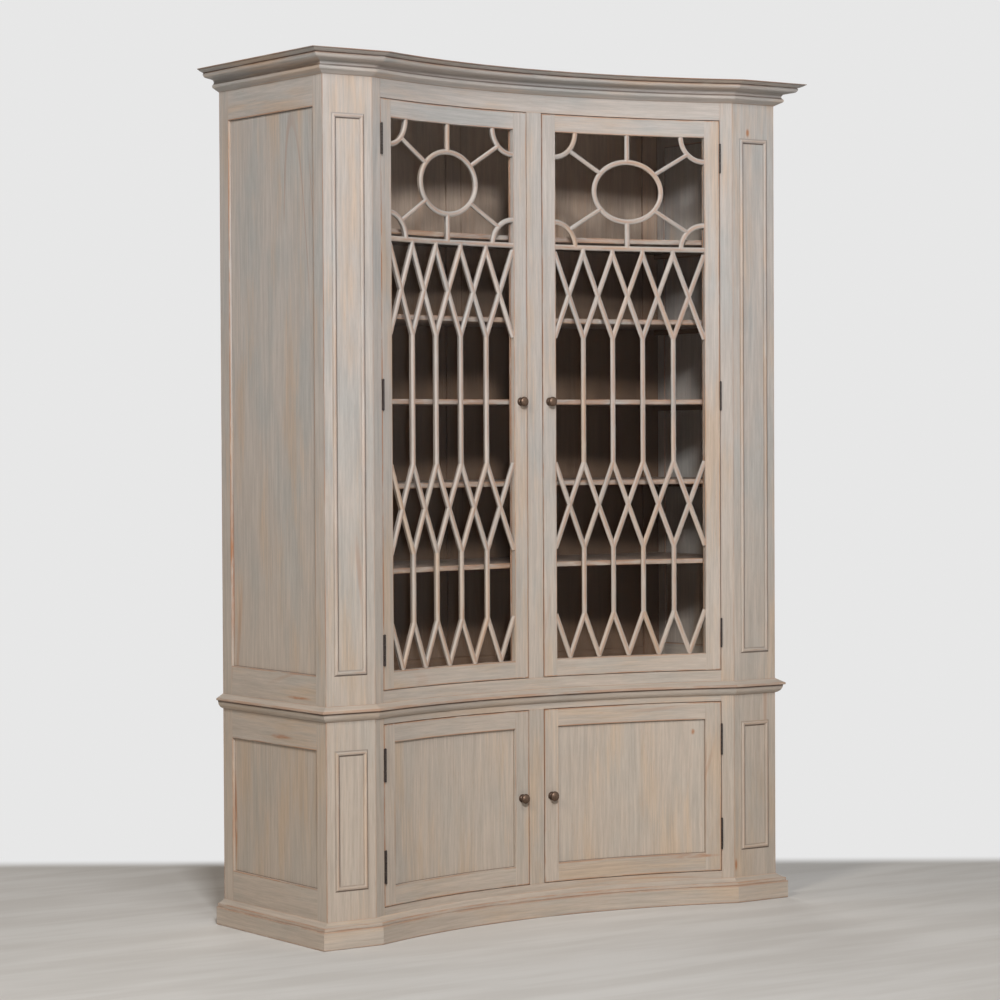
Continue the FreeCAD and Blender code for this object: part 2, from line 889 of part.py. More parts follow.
def battens(board_tops, thickness):
    """Cleats on both sides under each loose shelf."""
    pieces = []
    for top in board_tops:
        under = top - thickness
        pieces.append(
            box(
                inner_side_x - batten_width, inner_side_x,
                front_y + shelf_front_setback + batten_width, inner_back_y,
                under - batten_height, under,
            )
        )
    return both_sides(pieces)


def save(name, shapes):
    """Write the separate solids of one named piece."""
    solids = []
    for shape in shapes:
        solids += shape.Solids
    Part.makeCompound(solids).exportStep("parts/" + name + ".step")


def build():
    os.makedirs("parts", exist_ok=True)
    nodes = {
        "plinth_boards": plinth_boards(),
        "plinth_cap_moulding": moulding(
            plinth_cap_shares, plinth_cap_projection, plinth_cap_height, plinth_height
        ),
        "waist_moulding": moulding(waist_shares, waist_projection, waist_height, waist_bottom),
        "cornice_moulding": moulding(
            cornice_shares, cornice_projection, cornice_height, cabinet_height - cornice_height
        ),
    }

    base_frame, base_panel = side_pieces(
        plinth_height, base_height,
        plinth_height + lower_side_bottom_rail, base_height - lower_side_top_rail,
    )
    upper_frame, upper_panel = side_pieces(
        base_height, top_board_bottom,
        base_height + upper_side_bottom_rail, cabinet_height - upper_side_top_rail,
    )
    nodes["base_side_frame_right"] = base_frame
    nodes["base_side_frame_left"] = mirrored(base_frame)
    nodes["base_side_panels"] = both_sides([base_panel])
    nodes["upper_side_frame_right"] = upper_frame
    nodes["upper_side_frame_left"] = mirrored(upper_frame)
    nodes["upper_side_panels"] = both_sides([upper_panel])
    nodes["base_pilasters"] = both_sides([pilaster_board(plinth_height, base_height)])
    nodes["upper_pilasters"] = both_sides([pilaster_board(base_height, top_board_bottom)])
    nodes["base_pilaster_beads"] = both_sides(
        pilaster_beads(plinth_height + lower_bead_sill, base_height - lower_bead_head)
    )
    nodes["upper_pilaster_beads"] = both_sides(
        pilaster_beads(base_height + upper_bead_sill, cabinet_height - upper_bead_head)
    )

    behind_front = front_thickness + fit_gap
    nodes["base_bottom_board"] = [
        board(
            behind_front, lower_opening_bottom - board_thickness, lower_opening_bottom,
            inner_side_x, inner_back_y,
        )
    ]
    nodes["base_top_board"] = [
        board(
            behind_front, base_height - board_thickness, base_height, inner_side_x, inner_back_y
        )
    ]
    base_shelf_top = (lower_opening_bottom + lower_opening_top) / 2 + base_shelf_rise
    nodes["base_shelf"] = [
        board(
            shelf_front_setback, base_shelf_top - board_thickness, base_shelf_top,
            inner_side_x, inner_back_y,
        )
    ]
    nodes["base_shelf_battens"] = battens([base_shelf_top], board_thickness)
    nodes["base_back_panel"] = [
        box(-inner_side_x, inner_side_x, inner_back_y, back_y, plinth_height, base_height)
    ]
    nodes["upper_bottom_board"] = [
        board(
            behind_front, upper_opening_bottom - board_thickness, upper_opening_bottom,
            inner_side_x, inner_back_y,
        )
    ]
    nodes["upper_top_board"] = [board(0, top_board_bottom, cabinet_height, half_width, back_y)]
    for number, top in enumerate(shelf_tops(), start=1):
        nodes["upper_shelf_" + str(number)] = [
            board(shelf_front_setback, top - shelf_thickness, top, inner_side_x, inner_back_y)
        ]
    nodes["upper_shelf_battens"] = battens(shelf_tops(), shelf_thickness)
    nodes["upper_back_frame"], nodes["upper_back_panels"] = upper_back()

    upper_catches, lower_catches = catch_levels()
    nodes["door_catches"] = door_catches(upper_catches + lower_catches)
    upper_pieces, upper_leaves, upper_pins, upper_mortises = upper_door(upper_catches)
    lower_pieces, lower_leaves, lower_pins, lower_mortises = lower_door(lower_catches)
    for name, pieces in (("upper_door", upper_pieces), ("lower_door", lower_pieces)):
        for piece, shapes in pieces.items():
            nodes[name + "_right_" + piece] = shapes
            nodes[name + "_left_" + piece] = mirrored(shapes)
    nodes["hinge_frame_leaves"] = both_sides(upper_leaves + lower_leaves)
    nodes["hinge_pins"] = both_sides(upper_pins + lower_pins)

    base_face = face_frame(plinth_height, base_height, lower_opening_bottom, lower_opening_top)
    upper_face = face_frame(
        base_height, top_board_bottom, upper_opening_bottom, upper_opening_top
    )
    for mortise in both_sides(lower_mortises):
        base_face = [piece.cut(mortise) for piece in base_face]
    for mortise in both_sides(upper_mortises):
        upper_face = [piece.cut(mortise) for piece in upper_face]
    nodes["base_face_frame"] = base_face
    nodes["upper_face_frame"] = upper_face

    for name, shapes in nodes.items():
        save(name, shapes)


build()
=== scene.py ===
import math

import bpy
import numpy as np
from mathutils import Matrix, Vector


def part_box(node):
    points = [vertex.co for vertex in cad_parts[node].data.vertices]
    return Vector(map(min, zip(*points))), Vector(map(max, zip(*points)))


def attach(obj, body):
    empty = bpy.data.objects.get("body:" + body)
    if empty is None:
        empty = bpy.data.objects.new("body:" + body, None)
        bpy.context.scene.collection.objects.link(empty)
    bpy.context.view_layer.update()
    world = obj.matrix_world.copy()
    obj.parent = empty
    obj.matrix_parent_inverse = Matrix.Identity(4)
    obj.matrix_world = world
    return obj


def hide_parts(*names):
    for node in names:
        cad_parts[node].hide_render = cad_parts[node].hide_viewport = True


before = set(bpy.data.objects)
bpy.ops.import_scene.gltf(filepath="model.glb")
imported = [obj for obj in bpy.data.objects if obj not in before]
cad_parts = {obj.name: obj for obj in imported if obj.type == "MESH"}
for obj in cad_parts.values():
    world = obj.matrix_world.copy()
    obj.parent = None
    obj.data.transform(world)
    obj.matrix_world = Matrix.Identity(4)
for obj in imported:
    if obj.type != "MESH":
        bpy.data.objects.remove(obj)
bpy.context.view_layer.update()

# Limed display cabinet with a concave front, dressed over its fixed frame.
# Metres. Every board is a surface of its own, with four attributes on its
# points: grain (where the point lies in its board, fibres along Z), wear (how
# near it is to an edge that hands and cloths rub), a dark mark (how deep it lies
# in a hollow or quirk, darkened as dark wax and as painted shade in recesses,
# under beads and mouldings and inside the case) and tone (one value a board).

# The concave front, as in the frame
half_width = 0.780
back_y = 0.310
front_y = -0.240
pilaster_width = 0.157
bow_depth = 0.124
half_bow = half_width - pilaster_width
bow_radius = (half_bow ** 2 + bow_depth ** 2) / (2 * bow_depth)
bow_centre_y = front_y + bow_depth - bow_radius
junction_turn = math.asin(half_bow / bow_radius)
junction_slope = math.tan(junction_turn / 2)

# Board thicknesses
front_thickness = 0.024
side_thickness = 0.020
back_thickness = 0.018
door_thickness = 0.024
panel_setback = 0.008
panel_thickness = 0.008
groove_depth = 0.008
glass_front = 0.016
glass_back = 0.019
glass_rebate = 0.008
glass_clearance = 0.001
fit_gap = 0.0003
case_inner = half_width - side_thickness
back_front_y = back_y - back_thickness

# Widths of the frame members
outer_stile_width = 0.035
centre_stile_width = 0.051
door_gap = 0.002
upper_stile_width = 0.0455
lower_stile_width = 0.048
meeting_bevel = math.radians(15)
side_stile_width = 0.050
back_stile_width = 0.060
back_rail_width = 0.060
back_muntin_width = 0.056
back_panel_setback = 0.005
back_panel_rear = 0.013
lower_bottom_rail = 0.053
lower_top_rail = 0.050
shelf_setback = 0.045
batten_setback = 0.060
batten_size = 0.015
plinth_seat = 0.018

# Softened edges of the boards
ease = 0.0011
fine_ease = 0.0006
glass_ease = 0.0003
wear_reach = 0.0040
curve_step = 0.022
wax_reach = 0.0030
bead_skirt = 0.0030
# Bead feet: dark wax and painted shade; the foot towards the light keeps only a share of it
bead_clean = 0.30
bead_rub = 0.35
bead_foot_wax = 0.8
skirt_rise = 0.00015
# Mouldings: dark wax and painted shade in their hollows and inner corners
hollow_depth = 0.012
hollow_wax = 0.20
moulding_ease = 0.0012
moulding_step = 0.0025
moulding_rub = 0.7
moulding_wax = 1.5
bow_stations = 61
corner_share = 0.45
half_turn_points = 13
joint_ease = 0.0004
joint_rub = 0.22
pilaster_rub = 0.40
frame_rub = 0.90
frame_reach = 0.0040
# Painted shade along a recessed panel's rim, where its frame shades it
panel_rim = 0.90
shelf_rub = 0.50
# Painted shade on the shelves behind their front edges
shelf_dusk = 0.65
plain_step = 0.35
sharp_turn = math.radians(38)

# Lattice
lattice_columns = 5
bar_width = 0.0150
spoke_width = 0.0125
bar_crest_depth = 0.0005
bar_shoulder_depth = 0.0060
bar_stem_share = 0.42
bar_rub = 0.6
# Painted shade on the bars' stems and shoulders, under their rounded noses
stem_wax = 0.6
shoulder_wax = 0.3
oval_zone_height = 0.327
oval_half_width = 0.107
oval_half_height = 0.086
corner_arc_radius = 0.071
lattice_foot = 0.005
lattice_rise = 0.122
lower_straight_run = 0.190
middle_straight_run = 0.357
lattice_head = 0.015

# Fittings
pin_standoff = 0.005
knuckle_radius = 0.0030
bore_radius = 0.002
pin_radius = 0.00192
knuckle_gap = 0.0003
leaf_near = 0.0002
leaf_far = 0.0020
leaf_depth = 0.018
web_near = 0.0028
rose_radius = 0.012
knob_radius = 0.0140
neck_radius = 0.0048
knob_length = 0.0245
knob_rub = 0.8
upper_knob_drop = 0.0165
lower_knob_drop = 0.0005
upper_hinge_length = 0.084
lower_hinge_length = 0.090
hinge_inset = 0.109
plate_ease = 0.0002
catch_half_width = 0.046
catch_height = 0.026
catch_depth = 0.014
catch_inset = 0.006
strike_width = 0.014
strike_half_height = 0.010
strike_depth = 0.001
strike_proud = 0.0001
catch_ease = 0.0008

# Levels of the openings in the face frames and in the framed sides
base_opening = (0.092, 0.591)
upper_opening = (0.681, 2.287)
base_side_opening = (0.155, 0.529)
upper_side_opening = (0.730, 2.255)

random_source = np.random.default_rng(19)


# Places: each turns a surface's own coordinates into the frame's


def straight(points):
    return points


def bow(points):
    """Arc length along the door face, depth behind it and height."""
    turn = points[:, 0] / bow_radius
    radius = bow_radius + points[:, 1]
    return np.stack(
        [radius * np.sin(turn), bow_centre_y + radius * np.cos(turn), points[:, 2]], -1
    )


def arc(x):
    """Arc length from the middle of the door face to the point at x."""
    return bow_radius * math.asin(x / bow_radius)


def stretched(points, start, end, side=1):
    """Points whose first coordinate runs between two ends, mirrored for side -1."""
    if side < 0:
        start, end = -end, -start
    low = points[:, 0].min()
    high = points[:, 0].max()
    share = (points[:, 0] - low) / (high - low)
    moved = points.copy()
    moved[:, 0] = start + share * (end - start)
    return moved


def pilaster(side):
    """Flat front between two mitres: 45 degrees outside, half the junction inside."""
    def place(points):
        depth = points[:, 1] - front_y
        inner = half_bow + junction_slope * depth
        return stretched(points, inner, half_width - depth, side)
    return place


def side_front_stile(points):
    """Side stile whose front edge is mitred at 45 degrees to the pilaster."""
    swapped = points[:, [1, 0, 2]]
    start = front_y + half_width - np.abs(points[:, 0])
    return stretched(swapped, start, points[:, 1].max())[:, [1, 0, 2]]


def frame_stile(side, inner):
    """Outer stile of the face frame, whose far edge is mitred at the junction."""
    def place(points):
        depth = points[:, 1]
        reach = half_bow + junction_slope * depth
        far = bow_radius * np.arcsin(reach / (bow_radius + depth))
        return bow(stretched(points, inner, far, side))
    return place


def meeting_stile(side, meeting, inner):
    """Door stile whose meeting edge leans back by the bevel."""
    def place(points):
        near = meeting + np.tan(meeting_bevel) * points[:, 1]
        return bow(stretched(points, near, inner, side))
    return place


def front_line(x, setback):
    """Front of a level board at x: the bow and the pilasters at a setback."""
    radius = bow_radius + setback
    curve = bow_centre_y + np.sqrt(np.maximum(radius ** 2 - x ** 2, 0))
    return np.maximum(curve, front_y + setback)


def behind_front(setback, rear):
    """Level board whose front follows the cabinet's front."""
    def place(points):
        front = front_line(points[:, 0], setback)
        share = (points[:, 1] - front_y - setback) / (rear - front_y - setback)
        placed = points.copy()
        placed[:, 1] = front + share * (rear - front)
        return placed
    return place


def about(origin, turn):
    """Upright place turned about Z and moved to an origin."""
    def place(points):
        x = points[:, 0] * math.cos(turn) + points[:, 1] * math.sin(turn)
        y = points[:, 1] * math.cos(turn) - points[:, 0] * math.sin(turn)
        return np.stack([x, y, points[:, 2]], -1) + origin
    return place


# Surfaces


def stacked(*coordinates):
    """Points from three coordinates that broadcast against each other."""
    return np.stack(np.broadcast_arrays(*coordinates), -1).reshape(-1, 3)


def signed_volume(points, faces):
    """Sum of the tetrahedra between the origin and each face cut into a fan."""
    total = 0.0
    for corners in faces:
        ring = points[corners]
        first = ring[..., :1, :]
        cross = np.cross(ring[..., 1:-1, :] - first, ring[..., 2:, :] - first)
        total += (cross * first).sum()
    return total


def surface(points, faces, grain, wear, wax=0.0):
    """One closed surface whose faces all point outwards."""
    if signed_volume(points - points.mean(0), faces) < 0:
        faces = [corners[..., ::-1] for corners in faces]
    return {
        "points": points,
        "faces": faces,
        "grain": grain + random_source.uniform(-6, 6, 3),
        "wear": np.broadcast_to(wear, len(points)),
        "wax": np.broadcast_to(wax, len(points)),
        "tone": np.full(len(points), random_source.uniform(-1, 1)),
    }


def side_lines(low, high, radius, step, rim):
    """Grid lines across one side: at the tangents of 45, 22.5 and 0 degrees of each
    rounded end, at the reach of the wear and of a rim's painted shade, and evenly
    between."""
    corner = radius * (1 - np.tan(np.radians([45.0, 22.5, 0.0])))
    reach = min(wear_reach, (high - low) * 0.49 - radius)
    near = np.append(low + corner, low + radius + reach)
    if rim and high - low > 4 * groove_depth:
        near = np.append(near, [low + groove_depth, low + groove_depth + wax_reach])
    far = low + high - near[::-1]
    count = max(math.ceil((far[0] - near[-1]) / step), 1)
    middle = np.linspace(near[-1], far[0], count + 1)
    return np.concatenate([near, middle[1:-1], far])


def box_grid(lines):
    """Points and outward quads of a box's six sides on three sets of grid lines."""
    counts = [len(line) for line in lines]
    quads = []
    for axis in range(3):
        first, second = [i for i in range(3) if i != axis]
        rows, columns = np.meshgrid(
            np.arange(counts[first]), np.arange(counts[second]), indexing="ij"
        )
        for end in (0, counts[axis] - 1):
            index = [None, None, None]
            index[axis] = np.full(rows.shape, end)
            index[first] = rows
            index[second] = columns
            key = (index[0] * counts[1] + index[1]) * counts[2] + index[2]
            quad = np.stack(
                [key[:-1, :-1], key[1:, :-1], key[1:, 1:], key[:-1, 1:]], -1
            ).reshape(-1, 4)
            quads.append(quad if (end > 0) == (axis != 1) else quad[:, ::-1])
    keys, faces = np.unique(np.vstack(quads), return_inverse=True)
    index = (keys // (counts[1] * counts[2]), keys // counts[2] % counts[1], keys % counts[2])
    points = np.stack([line[i] for line, i in zip(lines, index)], -1)
    return points, faces.reshape(-1, 4)


def frame_wear(points, depth, outer, opening, rubbed):
    """Wear of a frame's front: it falls off from the border of the whole frame
    inwards and from the border of its opening outwards, and leaves the joints and
    all that lies deeper than a hair. The outer edges are rubbed through their depth
    by as much as is given."""
    (a0, a1, a2, a3), across = outer
    x, z = points[:, across], points[:, 2]
    inside = np.min([x - a0, a1 - x, z - a2, a3 - z], axis=0)
    b0, b1, b2, b3 = opening
    beyond = np.hypot(
        np.maximum(np.maximum(b0 - x, x - b1), 0), np.maximum(np.maximum(b2 - z, z - b3), 0)
    )
    near = np.minimum(np.maximum(inside, 0), beyond)
    face = np.clip(1 - near / (joint_ease + frame_reach), 0, 1) * (depth < joint_ease)
    return np.maximum(face, rubbed * (inside < joint_ease))


def block(
    low, high, along, place=straight, radius=ease, step=None, rub=1.0, rim=0.0, edge=None
):
    """Board with softened edges: each point of a box's skin moves to lie a radius
    away from the box that is smaller by that radius all round. The fibres run
    along axis 0, 1 or 2 of the board's own coordinates. Wear falls from rub at an
    edge to nothing within its reach. A panel gets painted shade along the rim of
    its frame, where the frame's edge would shade it."""
    low = np.array(low, float)
    high = np.array(high, float)
    steps = [plain_step] * 3
    if step is not None:
        steps[0] = step
    points, faces = box_grid([
        side_lines(low[i], high[i], radius, steps[i], rim) for i in range(3)
    ])
    to_side = np.sort(np.minimum(points - low, high - points), axis=1)
    wear = np.clip(1 - to_side[:, 1] / (radius + wear_reach), 0, 1)
    if edge is not None:
        deep = 1 - edge[0][1]
        depth = np.minimum(points[:, deep] - low[deep], high[deep] - points[:, deep])
        wear = frame_wear(points, depth, *edge)
    wear = rub * wear
    # Painted shade along a panel's rim, just inside its frame's edge.
    wax = rim * np.clip(1 - (to_side[:, 1] - groove_depth) / wax_reach, 0, 1)
    core = np.clip(points, low + radius, high - radius)
    outward = points - core
    outward /= np.linalg.norm(outward, axis=1, keepdims=True)
    points = core + outward * radius
    order = [i for i in range(3) if i != along] + [along]
    return surface(place(points), [faces], points[:, order], wear, wax)


def ranged(first, second):
    return min(first, second), max(first, second)


def bow_block(s0, s1, d0, d1, z0, z1, along, place=bow, radius=ease, **finish):
    """Board between two arc lengths, two depths and two heights of the door face."""
    s0, s1 = ranged(s0, s1)
    return block((s0, d0, z0), (s1, d1, z1), along, place, radius, curve_step, **finish)


def loop_faces(rings, count, closed):
    """Quads between rings of points, ring after ring, each ring closed."""
    ring = np.arange(rings)
    point = np.arange(count)
    a, b = np.meshgrid(ring if closed else ring[:-1], point, indexing="ij")
    c = (a + 1) % rings
    d = (b + 1) % count
    return np.stack(
        [a * count + b, c * count + b, c * count + d, a * count + d], -1
    ).reshape(-1, 4)


def tube_faces(rings, count):
    """Quads between rings of points, with a cap on the first and the last ring."""
    cap = np.arange(count)[None]
    return [loop_faces(rings, count, False), cap, cap[:, ::-1] + count * (rings - 1)]


def softened(outline, radius, steps=4):
    """Outline whose corners are parabolas between points a radius from each corner,
    with points at even steps between them."""
    before = np.roll(outline, 1, axis=0) - outline
    after = np.roll(outline, -1, axis=0) - outline
    back = np.linalg.norm(before, axis=1, keepdims=True)
    on = np.linalg.norm(after, axis=1, keepdims=True)
    start = outline + before / back * np.minimum(radius, back * corner_share)
    end = outline + after / on * np.minimum(radius, on * corner_share)
    t = np.linspace(0, 1, steps)[None, :, None]
    curve = (
        (1 - t) ** 2 * start[:, None] + 2 * t * (1 - t) * outline[:, None] + t ** 2 * end[:, None]
    )
    rings = []
    for corner, far in zip(curve, np.roll(start, -1, axis=0)):
        count = math.ceil(np.linalg.norm(far - corner[-1]) / moulding_step)
        share = np.arange(1, count)[:, None] / max(count, 1)
        rings += [corner, corner[-1] + share * (far - corner[-1])]
    return np.vstack(rings)


def corner_marks(outline, points, reach):
    """Wear near an outline's outer corners, and dark waxing with painted shade near
    its inner ones: the sine of the turn, falling off as a bell curve with the
    distance from the corner."""
    before = outline - np.roll(outline, 1, axis=0)
    after = np.roll(outline, -1, axis=0) - outline
    cross = before[:, 0] * after[:, 1] - before[:, 1] * after[:, 0]
    size = np.linalg.norm(before, axis=1) * np.linalg.norm(after, axis=1)
    turn = np.where(np.abs(cross) > 0.3 * size, cross / size, 0)
    gap = np.linalg.norm(points[:, None] - outline[None], axis=2)
    mark = turn[None] * np.exp(-(gap / reach) ** 2)
    return np.clip(mark, 0, 1).max(1), np.clip(-mark, 0, 1).max(1)


def hollow(points):
    """How deep each point of an outline lies under the outline's convex hull."""
    order = np.lexsort((points[:, 1], points[:, 0]))
    chain = []
    for path in (order, order[::-1]):
        part = []
        for point in points[path]:
            while len(part) > 1:
                (ax, ay), (bx, by) = part[-1] - part[-2], point - part[-2]
                if ax * by - ay * bx > 0:
                    break
                part.pop()
            part.append(point)
        chain += part[:-1]
    start = np.array(chain)
    along = np.roll(start, -1, axis=0) - start
    along /= np.linalg.norm(along, axis=1, keepdims=True)
    offset = points[:, None] - start[None]
    depth = along[None, :, 0] * offset[..., 1] - along[None, :, 1] * offset[..., 0]
    return depth.min(1)


def three_point_arc(start, way, end, count=12):
    """Circular arc from start to end by way of a third point, start left out."""
    (ax, ay), (bx, by), (cx, cy) = start, way, end
    twice = 2 * (ax * (by - cy) + bx * (cy - ay) + cx * (ay - by))
    ux = (
        (ax ** 2 + ay ** 2) * (by - cy) + (bx ** 2 + by ** 2) * (cy - ay)
        + (cx ** 2 + cy ** 2) * (ay - by)
    ) / twice
    uy = (
        (ax ** 2 + ay ** 2) * (cx - bx) + (bx ** 2 + by ** 2) * (ax - cx)
        + (cx ** 2 + cy ** 2) * (bx - ax)
    ) / twice
    first = math.atan2(ay - uy, ax - ux)
    sweep = math.atan2(cy - uy, cx - ux) - first
    by_way = math.atan2(by - uy, bx - ux) - first
    full = 2 * math.pi
    sweep %= full
    if by_way % full > sweep:
        sweep -= full
    turn = first + sweep * np.arange(1, count + 1) / count
    radius = math.hypot(ax - ux, ay - uy)
    return np.stack([ux + radius * np.cos(turn), uy + radius * np.sin(turn)], -1)


def moulding_outline(items, projection, height):
    """Closed outline in (out, up) from lines and arcs given in shares, bottom up."""
    points = [np.zeros((1, 2))]
    for kind, *shares in items:
        ends = np.array(shares).reshape(-1, 2) * (projection, height)
        if kind == "arc":
            points.append(three_point_arc(points[-1][-1], ends[0], ends[1]))
        else:
            points.append(ends)
    return np.vstack(points)


def side_run(out, share):
    """Straight length along the right side, mitred at the front corner."""
    return half_width + out, back_y + share * (front_y - out - back_y)


def pilaster_run(out, share):
    """Straight length along the right pilaster, mitred at both ends."""
    start = half_width + out
    end = half_bow - junction_slope * out
    return start + share * (end - start), front_y - out


def bow_run(out, share):
    """Arc about the bow's centre, from one junction's mitre to the other's."""
    radius = bow_radius - out
    end = np.arctan2(half_bow - junction_slope * out, front_y - out - bow_centre_y)
    turn = end * (1 - 2 * share)
    return radius * np.sin(turn), bow_centre_y + radius * np.cos(turn)


def run_surface(run, mirror, outline, marks, bottom, stations, length):
    """One length of a moulding: the outline carried along a run and capped."""
    out = outline[None, :, 0]
    share = np.linspace(0, 1, stations)[:, None]
    up = outline[None, :, 1]
    x, y = run(out, share)
    points = stacked(x * mirror, y, bottom + up)
    wear, wax = [np.tile(mark, stations) for mark in marks]
    faces = tube_faces(stations, len(outline))
    return surface(points, faces, stacked(out, up, share * length), wear, wax)


def moulding(items, projection, height, bottom, radius=moulding_ease, seat=0.0):
    """Five mitred lengths round the sides, the pilasters and the bow."""
    corners = moulding_outline(items, projection, height) - (seat, 0)
    outline = softened(corners, radius)
    wear, wax = corner_marks(corners, outline, wax_reach)
    # Painted shade: the deeper a point lies under the outline's hull, the darker it is painted.
    shade = np.clip(hollow(outline) / hollow_depth, 0, 1) * hollow_wax
    marks = moulding_rub * wear, np.clip(moulding_wax * wax + shade, 0, 1)
    lengths = [run_surface(bow_run, 1, outline, marks, bottom, bow_stations, 2 * arc(half_bow))]
    for mirror in (1, -1):
        for run, length in ((side_run, back_y - front_y), (pilaster_run, pilaster_width)):
            lengths.append(run_surface(run, mirror, outline, marks, bottom, 2, length))
    return lengths


def bead_strip(centre, outward, half_across, half_along, width, height):
    """Half-ellipse bead: across = width (1 - cos t) / 2 and proud = height sin t,
    its length shortened on the inside by as much as each point lies across. A slim
    skirt at both feet carries dark waxing and painted shade in the quirks; the foot
    that faces up or left, towards the light, keeps less of it, so the dark line on
    the other foot is a painted shadow."""
    turn = np.linspace(0, math.pi, half_turn_points)
    feet = (-bead_skirt, width + bead_skirt)
    across = np.pad(width * (1 - np.cos(turn)) / 2, 2, constant_values=feet)
    proud = np.pad(np.pad(height * np.sin(turn), 1) + skirt_rise, 1)
    share = np.array([-1.0, 1.0])[:, None]
    out_step = half_across - across[None, :]
    along_step = share * (half_along - across[None, :])
    outward = np.array(outward, float)
    onward = np.array([abs(outward[2]), 0.0, abs(outward[0])])
    points = (
        np.array(centre) + out_step[..., None] * outward + along_step[..., None] * onward
        + proud[None, :, None] * np.array([0.0, -1.0, 0.0])
    ).reshape(-1, 3)
    grain = stacked(across[None, :], proud[None, :], along_step)
    wear = np.tile(np.pad(bead_rub * np.sin(turn) ** 6, 2), 2)
    wax = np.clip(1 - 1.8 * np.sin(turn), 0, 1)
    wax = np.pad(wax, 2, constant_values=bead_foot_wax)
    inward = np.clip(across / width, 0, 1)
    # Painted shadow: the foot away from the light, below or to the right, stays dark.
    kept = inward if outward[0] < 0 or outward[2] > 0 else 1 - inward
    wax = np.tile(wax * (bead_clean + (1 - bead_clean) * kept), 2)
    return surface(points, tube_faces(2, len(across)), grain, wear, wax)


def bead_frame(side, bottom, top):
    """Four bead strips that frame one pilaster's face."""
    inset = 0.029
    width = 0.010
    height = 0.005
    half_across = (pilaster_width - 2 * inset) / 2
    half_along = (top - bottom) / 2
    centre = (side * (half_bow + pilaster_width / 2), front_y, (bottom + top) / 2)
    strips = []
    for sign in (-1, 1):
        strips += [
            bead_strip(centre, (sign, 0, 0), half_across, half_along, width, height),
            bead_strip(centre, (0, 0, sign), half_along, half_across, width, height),
        ]
    return strips


def bar_section(width):
    """Bar section in (across, depth): a slim stem from the glass to a shoulder, then
    a half ellipse: across = width cos t / 2, depth = shoulder - rise sin t."""
    turn = np.linspace(0, math.pi, half_turn_points)
    rise = bar_shoulder_depth - bar_crest_depth
    stem = width * bar_stem_share / 2
    step = bar_shoulder_depth + (width / 2 - stem) / 2
    across = np.pad(width * np.cos(turn) / 2, 2, constant_values=(stem, -stem))
    nose = bar_shoulder_depth - rise * np.sin(turn)
    depth = np.concatenate([[glass_front, step], nose, [step, glass_front]])
    crest = np.pad(np.sin(turn) ** 8, 2)
    # Painted shade on the stem and the shoulder, under the nose.
    foot = [stem_wax, stem_wax, shoulder_wax]
    waxed = np.array(foot + [0.0] * (len(turn) - 2) + foot[::-1])
    return across, depth, crest, waxed


def bar(path, width, closed=False):
    """Glazing bar: the section carried square to a path of (arc length, height)."""
    path = np.array(path, float)
    if closed:
        onward = np.roll(path, -1, axis=0) - np.roll(path, 1, axis=0)
    else:
        onward = np.gradient(path, axis=0)
    onward /= np.linalg.norm(onward, axis=1, keepdims=True)
    square = onward[:, ::-1] * (1, -1)
    across, depth, crest, waxed = bar_section(width)
    flat = path[:, None] + square[:, None] * across[None, :, None]
    points = bow(stacked(flat[..., 0], depth, flat[..., 1]))
    rings, count = flat.shape[:2]
    faces = [loop_faces(rings, count, True)] if closed else tube_faces(rings, count)
    length = np.concatenate([[0], np.cumsum(np.linalg.norm(np.diff(path, axis=0), axis=1))])
    grain = stacked(across[None, :], depth[None, :], length[:, None])
    return surface(points, faces, grain, np.tile(crest * bar_rub, rings), np.tile(waxed, rings))


def straight_bar(start, end, width=bar_width):
    share = np.linspace(0, 1, 6)[:, None]
    return bar(np.array(start) + share * (np.array(end) - np.array(start)), width)


def turned(radius, along, place, sides=48, closed=False, wear=0.0):
    """Surface of revolution: (radius cos t, radius sin t, along) round Z. An open
    outline starts and ends on the axis, where one point closes the pole."""
    turn = 2 * math.pi * np.arange(sides) / sides
    radius = np.array(radius, float)
    along = np.array(along, float)
    wear = np.broadcast_to(wear, len(radius)).astype(float)
    ring = radius if closed else radius[1:-1]
    level = along if closed else along[1:-1]
    ring_wear = wear if closed else wear[1:-1]
    points = stacked(ring[:, None] * np.cos(turn), ring[:, None] * np.sin(turn), level[:, None])
    faces = [loop_faces(len(ring), sides, closed)]
    point_wear = np.repeat(ring_wear, sides)
    if not closed:
        poles = np.array([[0, 0, along[0]], [0, 0, along[-1]]])
        first = np.arange(sides)
        last = first + sides * (len(ring) - 1)
        low, high = len(points), len(points) + 1
        faces.append(np.stack([np.full(sides, low), first, np.roll(first, -1)], -1))
        faces.append(np.stack([np.full(sides, high), np.roll(last, -1), last], -1))
        points = np.vstack([points, poles])
        point_wear = np.concatenate([point_wear, wear[[0, -1]]])
    return surface(place(points), faces, points.copy(), point_wear)


# Making the pieces


def new_object(name, data):
    """Object with this data, linked to the scene."""
    made = bpy.data.objects.new(name, data)
    bpy.context.scene.collection.objects.link(made)
    return made


